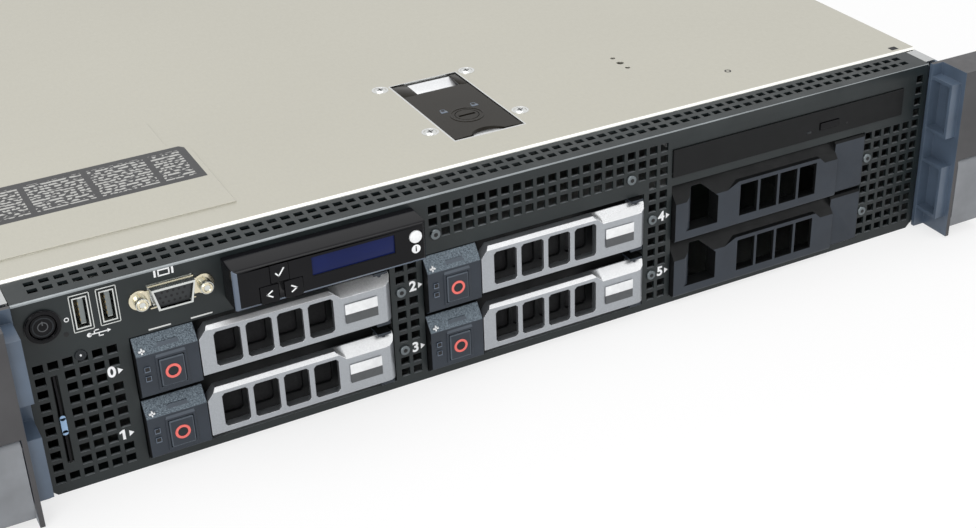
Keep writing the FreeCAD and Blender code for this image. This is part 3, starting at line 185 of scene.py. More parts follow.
class Finish(Sheet):
    """A material's node tree with one Principled shader."""

    def __init__(self, name, **fixed):
        self.material = bpy.data.materials.new(name)
        self.material.use_nodes = True
        super().__init__(self.material.node_tree)
        self.shader = self.tree.nodes["Principled BSDF"]
        for socket, value in fixed.items():
            self.shader.inputs[socket.replace("_", " ")].default_value = value

    def place(self, scale=(1, 1, 1)):
        """Object coordinates, scaled."""
        here = self.node("ShaderNodeTexCoord", output="Object")
        return self.node("ShaderNodeMapping", values={"Vector": here, "Scale": scale})

    def axis(self, name):
        """One Object coordinate in metres."""
        here = self.node("ShaderNodeTexCoord", output="Object")
        return self.node("ShaderNodeSeparateXYZ", values={"Vector": here}, output=name)

    def noise(self, scale, detail=3.0, rough=0.55, stretch=(1, 1, 1)):
        """Soft noise from 0 to 1; the scale is in cells to the metre."""
        return self.node("ShaderNodeTexNoise", values={"Vector": self.place(stretch), "Scale": scale,
                                                       "Detail": detail, "Roughness": rough})

    def cells(self, scale, output="Distance"):
        """Distance to the nearest random point."""
        return self.node("ShaderNodeTexVoronoi", values={"Vector": self.place(), "Scale": scale},
                         output=output)

    def blend(self, share, first, second):
        """Colour between two colours."""
        return self.node("ShaderNodeMix", {"data_type": "RGBA"},
                         {"Factor": share, 6: first, 7: second}, output=2)

    def spread(self, wire, low=0.0, high=1.0, start=0.3, stop=0.7):
        """A value stretched from low to high over part of its range."""
        return self.node("ShaderNodeMapRange", values={"Value": wire, "From Min": start, "From Max": stop,
                                                       "To Min": low, "To Max": high})

    def feed(self, socket, wire):
        """Links a wire to a socket of the shader."""
        self.tree.links.new(wire.socket, self.shader.inputs[socket])

    def relief(self, height, depth, rounding=0.0):
        """Bumps the surface; rounding eases the edges by that many millimetres."""
        values = {"Height": height, "Distance": depth * MM, "Strength": 1.0}
        if rounding:
            values["Normal"] = self.node("ShaderNodeBevel", {"samples": 4}, {"Radius": rounding * MM})
        self.feed("Normal", self.node("ShaderNodeBump", values=values))

    def coat(self, share, first, second, rough):
        """Feeds a colour between two colours and a varying roughness."""
        self.feed("Base Color", self.blend(share, first, second))
        self.feed("Roughness", rough)


def rgba(colour):
    """A colour with full alpha."""
    return (*tuple(colour)[:3], 1.0)


def shade(colour, factor):
    """A darker or lighter version of a colour."""
    return tuple(min(1.0, c * factor) for c in tuple(colour)[:3]) + (1.0,)


def coated(name, colour, rough, grain, rounding, metal=0.0, shine=0.5):
    """Painted sheet: fine orange peel, faint dust and slightly worn gloss."""
    f = Finish(name, Metallic=metal, Specular_IOR_Level=shine)
    f.coat(f.spread(f.noise(38.0)), shade(colour, 0.9), shade(colour, 1.25),
           f.spread(f.noise(90.0), rough - 0.07, rough + 0.08))
    f.relief(f.noise(2400.0, 2.0), grain, rounding)
    return f.material


def grained(name, colour, rough, depth=0.03, scale=1500.0, rounding=0.3, shine=0.5):
    """Moulded plastic with a fine spark-eroded grain."""
    f = Finish(name, Specular_IOR_Level=shine)
    f.coat(f.spread(f.noise(60.0)), shade(colour, 0.88), shade(colour, 1.16),
           f.spread(f.noise(220.0), rough - 0.05, rough + 0.08))
    f.relief(f.cells(scale), depth, rounding)
    return f.material


def speckled(name, colour, sheen_fleck, rough):
    """Coarse-grained metallic paint whose grain is painted lighter, as a painted sheen for slopes that face
    upwards.
    """
    f = Finish(name, Metallic=0.6)
    grit = f.noise(2400.0, 2.0, 0.5)
    f.coat(f.spread(grit, 0.12, 1.0, 0.36, 0.72), rgba(colour), rgba(sheen_fleck),
           f.spread(f.noise(800.0), rough - 0.1, rough + 0.12))
    f.relief(grit, 0.10, 0.3)
    return f.material


def polished(name, colour, rough=0.08, shine=0.15, rounding=0.3):
    """Gloss moulding with the faintest ripple and a few smears."""
    f = Finish(name, Specular_IOR_Level=shine)
    f.coat(f.spread(f.noise(25.0)), rgba(colour), shade(colour, 1.35),
           f.spread(f.noise(70.0), rough, rough + 0.07))
    f.relief(f.noise(120.0), 0.004, rounding)
    return f.material


def rolled(name, colour, rough, along=(1, 1, 1), rounding=0.3, blotch=0.12):
    """Bare rolled sheet: directional grain, soft blotches and fine scratches."""
    f = Finish(name, Metallic=1.0)
    grain = f.noise(900.0, 4.0, 0.6, along)
    tone = f.spread(grain, 0.35, 0.65) + f.spread(f.noise(9.0, 4.0), -0.15, 0.15)
    scratch = f.noise(400.0, 6.0, 0.7, tuple(a * 0.5 for a in along))
    f.coat(tone, shade(colour, 1.0 - blotch), shade(colour, 1.0 + blotch),
           f.spread(scratch, rough - 0.08, rough + 0.1))
    f.relief(grain, 0.006, rounding)
    return f.material


def satin(name, colour, rough=0.34):
    """Satin silver finish with very fine sparkle and slight handling marks."""
    f = Finish(name, Metallic=0.85)
    spark = f.node("ShaderNodeSeparateColor", values={"Color": f.cells(5200.0, "Color")})
    f.coat(spark, shade(colour, 0.9), shade(colour, 1.12),
           f.spread(f.noise(50.0), rough - 0.05, rough + 0.08))
    f.relief(f.noise(3000.0, 2.0), 0.006, 0.35)
    return f.material


def circuit(name, colour):
    """Circuit board: solder mask over routed tracks, with vias."""
    f = Finish(name, Coat_Weight=0.3, Coat_Roughness=0.2)
    across = (f.axis("X") * 420.0 + f.noise(22.0, 0.0) * 3.0).fraction()
    along = (f.axis("Y") * 420.0 + f.noise(17.0, 0.0) * 3.0).fraction()
    pick = f.noise(30.0, 0.0).over(0.5)
    track = across.over(0.62) * pick + along.over(0.62) * (1.0 - pick)
    via = 1.0 - f.cells(260.0).over(0.16)
    f.coat(via, f.blend(track, rgba(colour), shade(colour, 1.7)), (0.55, 0.45, 0.2, 1.0),
           f.spread(f.noise(60.0), 0.32, 0.48))
    f.relief(track, 0.03)
    return f.material


def printed(name, colour, rough=0.5, glow=0.0):
    """Ink, lens or label stock with a slightly uneven surface."""
    f = Finish(name)
    # glow makes the stock shine by itself, as painted light
    if glow:
        f.shader.inputs["Emission Color"].default_value = rgba(colour)
        f.shader.inputs["Emission Strength"].default_value = glow
    f.coat(f.spread(f.noise(400.0)), shade(colour, 0.92), shade(colour, 1.06),
           f.spread(f.noise(900.0), rough - 0.05, rough + 0.06))
    f.relief(f.noise(2500.0), 0.004)
    return f.material


def lid_steel(name, colour):
    """Brushed lid steel with its front lip painted near-white as a painted highlight, and the plain ruled
    label on its raised panel.
    """
    f = Finish(name)
    x, y = f.axis("X"), f.axis("Y")
    low, high = at(*LABEL[0], 0.0), at(*LABEL[1], 0.0)

    def inside(margin):
        """1 where a point lies inside the label by a margin."""
        return ((x - low.x).over(margin) * (high.x - x).over(margin)
                * (y - low.y).over(margin) * (high.y - y).over(margin))

    grain = f.noise(1300.0, 3.0, 0.6, (1.0, 0.2, 1.0))
    tone = f.spread(grain, 0.3, 0.7) + f.spread(f.noise(7.0, 4.0), -0.2, 0.2)
    steel = f.blend(tone, shade(colour, 0.96), shade(colour, 1.04))
    # painted highlight: the front lip of the lid is painted near-white
    steel = f.blend(y.under(FACE + LIP * MM), steel, (0.86, 0.86, 0.82, 1.0))
    stock = inside(0.0) * f.axis("Z").over(TOP - 0.2 * MM)
    dash = f.node("ShaderNodeTexNoise", {"noise_dimensions": "2D"},
                  {"Vector": f.place((1.0, 0.9, 1.0)), "Scale": 520.0, "Detail": 0.0}).over(0.45)
    ruled = dash * inside(0.0035) * (y * 420.0).fraction().over(0.42) * (x * 38.0 + 0.2).fraction().over(0.10)
    sheet = f.blend(ruled, (0.018, 0.018, 0.020, 1.0), (0.42, 0.42, 0.40, 1.0))
    f.coat(stock, steel, sheet, f.spread(f.noise(500.0, 5.0, 0.7), 0.40, 0.52) - stock * 0.1)
    f.feed("Metallic", 0.75 - stock * 0.75)
    f.relief(grain, 0.006, 0.4)
    return f.material


def plated_ports(name, colour, black):
    """Plated port shells; the moulded collar of the power button beside them is black."""
    f = Finish(name)
    collar = f.axis("X").under(COLLAR * MM)
    smear = f.noise(60.0)
    metal = f.blend(f.spread(smear), shade(colour, 0.92), shade(colour, 1.06))
    f.coat(collar, metal, rgba(black), f.spread(smear, 0.2, 0.3))
    f.feed("Metallic", 1.0 - collar)
    f.relief(f.noise(900.0), 0.004, 0.1)
    return f.material


def disk_body(name, colour, front):
    """Cast disk body whose front 12 mm are painted black as painted shade, which shows in the carrier
    windows.
    """
    f = Finish(name)
    # painted shade: the front of the disk is painted black
    near = f.axis("Y").under(FACE + 12.0 * MM)
    cast = f.noise(900.0)
    f.coat(near, rgba(colour), rgba(front), near * 0.4 + f.spread(cast, 0.38, 0.48))
    f.feed("Metallic", 0.9 - near * 0.9)
    f.relief(cast, 0.03, 0.4)
    return f.material


# ---------------- mesh helpers
def linked(name, data):
    """A new object in the scene."""
    thing = bpy.data.objects.new(name, data)
    bpy.context.scene.collection.objects.link(thing)
    return thing


def mesh_of(bm, name):
    """Turns a bmesh into a mesh."""
    mesh = bpy.data.meshes.new(name)
    bm.to_mesh(mesh)
    bm.free()
    return mesh


def evaluated(thing):
    """A mesh of an object as it is drawn."""
    return bpy.data.meshes.new_from_object(thing.evaluated_get(bpy.context.evaluated_depsgraph_get()))


def soften(bm, edges, ease, steps=2, clamp=False):
    """Bevels edges by a width in millimetres."""
    bmesh.ops.bevel(bm, geom=list(edges), offset=ease * MM, segments=steps, profile=0.5, affect="EDGES",
                    material=-1, clamp_overlap=clamp)


def block(bm, low, high, ease=0.0):
    """Adds a box between two corners in millimetres, with eased edges."""
    a, b = at(*low), at(*high)
    made = bmesh.ops.create_cube(bm, size=1.0,
                                 matrix=Matrix.Translation((a + b) / 2) @ Matrix.Diagonal((*(b - a), 1.0)))
    if ease:
        soften(bm, {e for v in made["verts"] for e in v.link_edges}, ease)


def bars(bm, places, front, back, ease=0.0, x=0.0, z=0.0):
    """Adds upright bars, each given by left, foot, right and head about a centre, between two depths."""
    for left, foot, right, head in places:
        block(bm, (x + left, front, z + foot), (x + right, back, z + head), ease)


def drum(bm, start, direction, radius, length, sides=32, tip=None, ease=0.0):
    """Adds a round bar or cone that runs from a start along a direction, in millimetres."""
    along = Vector(direction).normalized()
    turn = along.to_track_quat("Z", "Y").to_matrix().to_4x4()
    middle = at(*start) + along * length * MM / 2
    end = radius if tip is None else tip
    made = bmesh.ops.create_cone(bm, cap_ends=True, segments=sides, radius1=radius * MM, radius2=end * MM,
                                 depth=length * MM, matrix=Matrix.Translation(middle) @ turn)
    if ease:
        soften(bm, {e for v in made["verts"] for e in v.link_edges if e.calc_face_angle(0) > 1.0}, ease)


def ring(bm, middle, direction, outer, inner, depth, sides=40):
    """Adds a round washer whose section is spun about its axis, in millimetres."""
    along = Vector(direction).normalized()
    side = along.orthogonal().normalized()
    start = at(*middle)
    points = [start + side * r * MM + along * d * MM
              for r, d in ((inner, 0), (outer, 0), (outer, depth * 0.7), (outer - depth * 0.3, depth),
                           (inner + depth * 0.3, depth), (inner, depth * 0.7))]
    verts = [bm.verts.new(p) for p in points]
    edges = [bm.edges.new((verts[k], verts[(k + 1) % len(verts)])) for k in range(len(verts))]
    bmesh.ops.spin(bm, geom=verts + edges, cent=start, axis=along, angle=math.tau, steps=sides,
                   use_merge=True)


def panel(bm, outline, depth, along=BACK, ease=0.0):
    """Adds a plate from an outline of points in millimetres, pushed out by a depth along a direction."""
    face = bm.faces.new([bm.verts.new(at(*p)) for p in outline])
    made = bmesh.ops.extrude_face_region(bm, geom=[face], use_keep_orig=True)
    moved = [g for g in made["geom"] if isinstance(g, bmesh.types.BMVert)]
    bmesh.ops.translate(bm, verts=moved, vec=Vector(along) * depth * MM)
    if ease:
        soften(bm, {e for v in moved for e in v.link_edges if e.other_vert(v) in moved}, ease)


def flat(bm, middle, outline, depth, ease=0.0):
    """Adds an upright plate from points about a middle."""
    x, y, z = middle
    panel(bm, [(x + u, y, z + w) for u, w in outline], depth, ease=ease)


def ramp(bm, near, far, depth, ease):
    """Adds a sloping plate between two level edges, each given by left, right, depth and height."""
    outline = [(near[0], *near[2:]), (near[1], *near[2:]), (far[1], *far[2:]), (far[0], *far[2:])]
    panel(bm, outline, depth, UP, ease)


def sleeve(bm, loops):
    """Joins closed loops of points, one after another, into a wall with open ends."""
    rims = []
    for points in loops:
        verts = [bm.verts.new(at(*p)) for p in points]
        rims.append([bm.edges.new((verts[k], verts[(k + 1) % len(verts)])) for k in range(len(verts))])
    for first, second in zip(rims, rims[1:]):
        bmesh.ops.bridge_loops(bm, edges=first + second)


def glyph(bm, text, middle, height, depth):
    """Adds a generic mark as thin raised letters that face the front."""
    curve = bpy.data.curves.new("mark", "FONT")
    curve.body = text
    curve.align_x = "CENTER"
    curve.align_y = "CENTER"
    curve.size = height * 1.38 * MM
    curve.offset = 0.045 * height * MM
    curve.extrude = depth * MM / 2
    holder = linked("mark", curve)
    mesh = evaluated(holder)
    mesh.transform(Matrix.Translation(at(*middle)) @ Matrix.Rotation(math.radians(90), 4, "X"))
    bm.from_mesh(mesh)
    bpy.data.objects.remove(holder)
    bpy.data.curves.remove(curve)
    bpy.data.meshes.remove(mesh)


def finish_piece(bm, name, body, finish, replaces=(), smooth=35.0, mend=True):
    """Turns a bmesh into a piece that rides on a CAD body."""
    if mend:
        bmesh.ops.recalc_face_normals(bm, faces=bm.faces)
    mesh = mesh_of(bm, name)
    mesh.materials.append(finish_of(finish))
    mesh.polygons.foreach_set("use_smooth", [True] * len(mesh.polygons))
    mesh.set_sharp_from_angle(angle=math.radians(smooth))
    piece = linked(name, mesh)
    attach(piece, body)
    if replaces:
        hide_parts(*replaces)
    return piece


@contextmanager
def fitting(name, body, finish, slot=None, replaces=(), smooth=35.0):
    """Opens an empty bmesh, which becomes a piece when its block ends."""
    bm = bmesh.new()
    yield bm
    finish_piece(bm, name, body, finish, replaces, smooth)


def solid_copy(node):
    """A merged copy of a CAD node's mesh with its flat regions made whole."""
    bm = bmesh.new()
    bm.from_mesh(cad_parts[node].data)
    bmesh.ops.remove_doubles(bm, verts=bm.verts, dist=0.00002)
    bmesh.ops.dissolve_limit(bm, angle_limit=0.01, verts=bm.verts, edges=bm.edges)
    return bm


def ease_edges(bm, ease, steps, pick):
    """Bevels the sharp edges of a solid copy that a test picks."""
    limit = math.radians(30)
    edges = [e for e in bm.edges if len(e.link_faces) == 2 and e.calc_face_angle(0) > limit and pick(e)]
    soften(bm, edges, ease, steps, clamp=True)


def eased_node(node, name, body, finish, ease=0.3, pick=lambda e: True, broad=None):
    """A copy of a CAD node with rounded edges, which stands for it; broad picks edges for a wide flat."""
    bm = solid_copy(node)
    if broad:
        ease_edges(bm, 1.5, 1, broad)
    ease_edges(bm, ease, 2, lambda e: e.calc_length() > ease * 2.2 * MM and pick(e))
    piece = finish_piece(bm, name, body, finish, (node,), smooth=40.0, mend=False)
    piece.modifiers.new("even_light", "WEIGHTED_NORMAL").keep_sharp = True
    return piece


def accent(piece, finish, chosen):
    """Gives a second finish to the faces of a piece that a test on middle and normal chooses."""
    mesh = piece.data
    mesh.materials.append(finish_of(finish))
    last = len(mesh.materials) - 1
    count = 0
    for face in mesh.polygons:
        x, y, z = face.center
        if chosen(x / MM, (y - FACE) / MM, z / MM, face.normal):
            face.material_index = last
            count += 1
    if not count:
        raise RuntimeError("no face of %s takes its second finish" % piece.name)


def dress(finish, *nodes):
    """Gives a finish to CAD nodes that stay."""
    for node in nodes:
        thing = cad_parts[node]
        thing.data.materials.clear()
        thing.data.materials.append(finish_of(finish))


def numbered(stem, numbers):
    """Names of like nodes."""
    return [stem + "_%d" % k for k in numbers]


# ---------------- settings
def tint(label, words, colour):
    """A colour setting."""
    return FloatVectorProperty(name=label, description=words, default=colour, subtype="COLOR", size=3,
                               min=0.0, max=1.0)


def length(label, words, millimetres):
    """A length setting in metres."""
    return FloatProperty(name=label, description=words, default=millimetres * MM, unit="LENGTH", min=0.0)


class ServerColours(bpy.types.PropertyGroup):
    """Colours of the server's finishes."""
    cover: tint("Cover", "Bare steel of the lid", (0.495, 0.482, 0.42))
    plated: tint("Plated sheet", "Zinc-plated pan and cage", (0.50, 0.51, 0.51))
    front: tint("Front panel", "Matt coat of the perforated front", (0.008, 0.0125, 0.0135))
    # painted highlight: lighter line along the bent top edge of the front and on the upward sills of its
    # holes
    bend: tint("Panel bend", "Worn line along the bent top edge of the front", (0.22, 0.24, 0.25))
    silver: tint("Handles", "Satin silver of the drive handles", (0.385, 0.405, 0.43))
    # painted highlight: brighter silver for the handles' upward and left-facing facets; the latch plates use
    # it as bright steel
    facet_highlight_and_bright_steel: tint("Handle facets", "Bright sloping facets of the drive handles", (0.78, 0.79, 0.80))
    slate: tint("Carriers", "Smooth slate front of the carriers", (0.022, 0.029, 0.040))
    # painted sheen: light colour of the grain on the carriers' upward slopes
    sheen_fleck: tint("Fleck", "Glints in the coarse grain of the carriers' slopes", (0.21, 0.26, 0.30))
    black: tint("Black mouldings", "Grained black plastic", (0.007, 0.0075, 0.008))
    gloss: tint("Display housing", "Polished black plastic", (0.004, 0.004, 0.005))
    # painted reflection: blue-grey for the display housing's left and lower edges, painted highlight on the
    # drive lamps' rims; also the grey of the lever's small signs
    rim: tint("Housing edges", "Blue-grey edges of the display housing", (0.10, 0.125, 0.165))
    screen: tint("Display", "Unlit display window", (0.005, 0.010, 0.060))
    ear: tint("Ears", "Slate-blue moulded ears", (0.070, 0.098, 0.140))
    ear_block: tint("Ear blocks", "Warm grey outer blocks of the ears", (0.046, 0.045, 0.048))
    lever: tint("Ear levers", "Grey moulded levers under the ears", (0.19, 0.20, 0.215))
    ring: tint("Button ring", "Pink-red ring on the release buttons", (0.74, 0.135, 0.115))
    lock: tint("Supply latch", "Orange latch of the power supplies", (0.72, 0.16, 0.05))
    ink: tint("Marks", "White ink of the slot numbers and signs", (0.84, 0.85, 0.86))
    board: tint("Circuit boards", "Solder mask", (0.014, 0.085, 0.035))
    port: tint("Ports", "Bright plated port shells", (0.66, 0.68, 0.66))
    tag: tint("Tag", "Pale blue oval on the pull-out tag", (0.30, 0.46, 0.68))


class ServerSizes(bpy.types.PropertyGroup):
    """Sizes of the server's small fittings."""
    edge: length("Edge", "Rounding of moulded edges", 0.45)
    mark: length("Mark height", "Height of the slot numbers", 4.6)
    ring_outer: length("Ring radius", "Outer radius of the ring on a release button", 3.1)
    ring_inner: length("Ring bore", "Inner radius of the ring on a release button", 2.05)
    lamp: length("Drive lamp", "Side of a drive's status lamps", 2.3)
    flange_hole: length("Flange hole", "Side of the square holes along the top edge", 3.7)
    flange_pitch: length("Flange pitch", "Distance between those holes", 5.57)
    flange_count: IntProperty(name="Flange holes", description="Holes in each row along the top edge",
                              default=74, min=1)


def size(name):
    """One of the size settings in millimetres."""
    return getattr(bpy.context.scene.server_sizes, name) / MM


MAKERS = {
    "cover": lambda c: lid_steel("bare_steel_lid", c.cover),
    "plated": lambda c: rolled("plated_sheet", c.plated, 0.36, (1.0, 0.3, 1.0), 0.2),
    "front": lambda c: coated("front_coat", c.front, 0.44, 0.010, 0.22, shine=0.42),
    # painted highlight along the bend of the front panel
    "bend": lambda c: coated("painted_bend_highlight", c.bend, 0.36, 0.006, 0.1, metal=0.3),
    "silver": lambda c: satin("satin_silver", c.silver),
    "facet_highlight_and_bright_steel": lambda c: satin("painted_facet_highlight_and_bright_steel", c.facet_highlight_and_bright_steel, 0.30),
    # painted highlight: lighter slate for sloping faces of the carriers and release buttons
    "hood": lambda c: grained("slate_painted_slope_highlight", (0.070, 0.085, 0.105), 0.40, 0.008, 2600.0, 0.2, 0.35),
    "tongue": lambda c: polished("port_tongue", (0.16, 0.18, 0.18), 0.2, 0.5),
    "face_grey": lambda c: grained("port_face", (0.030, 0.033, 0.035), 0.4, 0.01, 2000.0, 0.1, 0.3),
    "slate": lambda c: grained("slate_front", c.slate, 0.42, 0.008, 2600.0, 0.3, 0.35),
    "sheen_fleck": lambda c: speckled("painted_sheen_slope", c.slate, c.sheen_fleck, 0.36),
    "black": lambda c: grained("black_grain", c.black, 0.42, 0.015, shine=0.16),
    "gloss": lambda c: polished("polished_black", c.gloss),
    "rim": lambda c: polished("painted_edge_reflection_and_sign_grey", c.rim, 0.25, 0.4),
    "ear": lambda c: grained("slate_grain", c.ear, 0.34, 0.008, shine=0.6),
    "ear_block": lambda c: grained("warm_grain", c.ear_block, 0.42, 0.015),
    "lever": lambda c: grained("grey_grain", c.lever, 0.40, 0.01),
    "board": lambda c: circuit("solder_mask", c.board),
    "port": lambda c: rolled("port_plating", c.port, 0.22, rounding=0.1, blotch=0.06),
    "ports": lambda c: plated_ports("port_shells", c.port, c.gloss),
    "gilt": lambda c: rolled("gilt_shell", (0.72, 0.66, 0.50), 0.24, rounding=0.1, blotch=0.08),
    "chrome": lambda c: rolled("bright_screw", (0.66, 0.67, 0.66), 0.26, rounding=0.1, blotch=0.06),
    "screw": lambda c: rolled("dull_screw", (0.16, 0.18, 0.19), 0.34, rounding=0.1, blotch=0.1),
    "fin": lambda c: rolled("fin_alloy", (0.72, 0.73, 0.74), 0.33, (1, 1, 0.1), 0.05),
    "disk": lambda c: disk_body("disk_body", (0.48, 0.48, 0.49), c.gloss),
    "lock": lambda c: grained("orange_grain", c.lock, 0.4),
    "tag": lambda c: grained("pale_tag", c.tag, 0.38, 0.01),
    "ink": lambda c: printed("white_ink", c.ink, 0.55),
    "label_grey": lambda c: printed("label_grey", (0.075, 0.08, 0.085)),
    # painted glow: the ring ink shines a little by itself, though it is no lamp
    "ring": lambda c: printed("ring_ink_with_painted_glow", c.ring, 0.4, 0.10),
    "screen": lambda c: polished("display_window", c.screen, 0.05, 0.15, 0.1),
    # painted shade: near-black stands for the shade in holes, slots and recesses; it is also the real black
    # of small prints and lenses
    "dark": lambda c: printed("painted_hole_shade_and_black_parts", (0.004, 0.004, 0.005), 0.7),
    "lamp": lambda c: polished("dark_lens", (0.010, 0.013, 0.016), 0.12, 0.3, 0.2),
    "gold": lambda c: rolled("gold_contacts", (0.75, 0.52, 0.20), 0.25),
    "lever_black": lambda c: polished("lever_gloss", (0.013, 0.011, 0.008), 0.16, 0.11),
    "chip": lambda c: grained("chip_black", (0.010, 0.010, 0.011), 0.36, 0.01, 3000.0, shine=0.25),
}
FINISHES = {}


def finish_of(name):
    """A shared finish, made once."""
    if name not in FINISHES:
        FINISHES[name] = MAKERS[name](bpy.context.scene.server_colours)
    return FINISHES[name]


# ---------------- lid
class SERVER_OT_lid(bpy.types.Operator):
    """Finishes the lid and its latch, with the recess, the lock, the screws and the plain label"""
    bl_idname = "server.lid"
    bl_label = "Lid and latch"

    def execute(self, context):
        """Dresses the cover body."""
        dress("cover", "top_cover", "cover_runners")
        dress("black", "latch_base")
        self.lever()
        self.plates()
        eased_node("latch_lock", "lid_lock", "latch_lock", "lever_black", 0.2)
        self.screws()
        # painted shade: dark ring in the dimple and dark block in the square hole
        with fitting("lid_dimples", "cover", "dark") as bm:
            ring(bm, (127.0, 40.2, LID - 0.03), UP, 1.6, 0.9, 0.06, 24)
            block(bm, (207.4, 20.0, LID - 0.04), (211.4, 23.4, LID + 0.02))
        return {"FINISHED"}

    def lever(self):
        """Polished lever with the arms beside its finger opening, its thumb ring and two small signs."""
        node = "latch_lever"
        eased_node(node, "lid_lever", node, "lever_black", 0.35)
        x0, y0, _ = corner(node)
        x1, y1, top = far_corner(node)
        middle = (x0 + x1) / 2
        with fitting("lever_thumb_ring", node, "lever_black", "black_plastic") as bm:
            ring(bm, (middle, corner("latch_lock")[1] + 5.2, top - 0.15), UP, 7.7, 6.9, 0.35, 64)
            for left, right in ((x0, x0 + 7.5), (x1 - 3.5, x1)):
                block(bm, (left, y1 - 1.0, top - 1.5), (right, 104.6, top), 0.4)
        with fitting("lever_signs", node, "rim") as bm:
            for x in (middle - 7.6, middle + 7.6):
                y = y0 + 29.5
                ring(bm, (x, y, top - 0.05), UP, 1.3, 0.9, 0.12, 20)
                block(bm, (x - 1.6, y - 2.6, top - 0.05), (x + 1.6, y - 0.7, top + 0.07), 0.03)

    def plates(self):
        """Bright plates that show behind and before the lever, and the rounded rim of its opening."""
        x0 = corner("latch_lever")[0]
        x1, y1, _ = far_corner("latch_lever")
        middle = (x0 + x1) / 2
        _, first, foot = corner("latch_base")
        last = far_corner("latch_base")[1]
        low, front, back = foot + 1.2, first + 5.6, last - 6.2
        with fitting("latch_finger_plate", "cover", "facet_highlight_and_bright_steel", "frame_steel") as bm:
            ramp(bm, (x0 + 9.0, x1 - 2.4, y1 + 0.3, low + 3.4),
                 (x0 + 7.4, x1 - 2.4, back - 0.1, low + 6.5), 0.6, 0.15)
            ramp(bm, (x0 + 0.4, x1 - 0.4, back - 1.6, low + 6.1),
                 (x0 + 0.4, x1 - 0.4, back, low + 6.5), 0.5, 0.1)
        with fitting("latch_front_plate", "cover", "facet_highlight_and_bright_steel", "frame_steel") as bm:
            ramp(bm, (middle - 7.5, middle + 7.5, front, low + 6.8),
                 (middle - 5.0, middle + 5.0, front + 6.4, low + 5.3), 0.5, 0.1)
        loops = []
        for across, along, z in ((1.2, 0.8, LID - 0.02), (0.36, -0.04, LID + 0.1), (0.36, -0.04, LID - 0.92)):
            left, right, near, far = x0 - across, x1 + across, first + 5.0 - along, last - 5.0 + along
            loops.append([(left, near, z), (right, near, z), (right, far, z), (left, far, z)])
        with fitting("latch_opening_rim", "cover", "chrome", "bare_steel") as bm:
            sleeve(bm, loops)

    def screws(self):
        """Recessed cross-head screws round the latch."""
        # painted shade: dark blocks stand for the cross recesses of the screws
        with fitting("latch_screw_slots", "cover", "dark") as slots, \
                fitting("latch_screw_heads", "cover", "chrome", "frame_steel") as heads:
            for x in LATCH_SCREWS[0]:
                for y in LATCH_SCREWS[1]:
                    ring(heads, (x, y, LID - 0.05), UP, 3.9, 2.9, 0.22, 32)
                    drum(heads, (x, y, LID - 0.1), UP, 2.9, 0.45, 28, 2.2, 0.1)
                    for u, v in ((1.4, 0.3), (0.3, 1.4)):
                        block(slots, (x - u, y - v, LID + 0.3), (x + u, y + v, LID + 0.38))


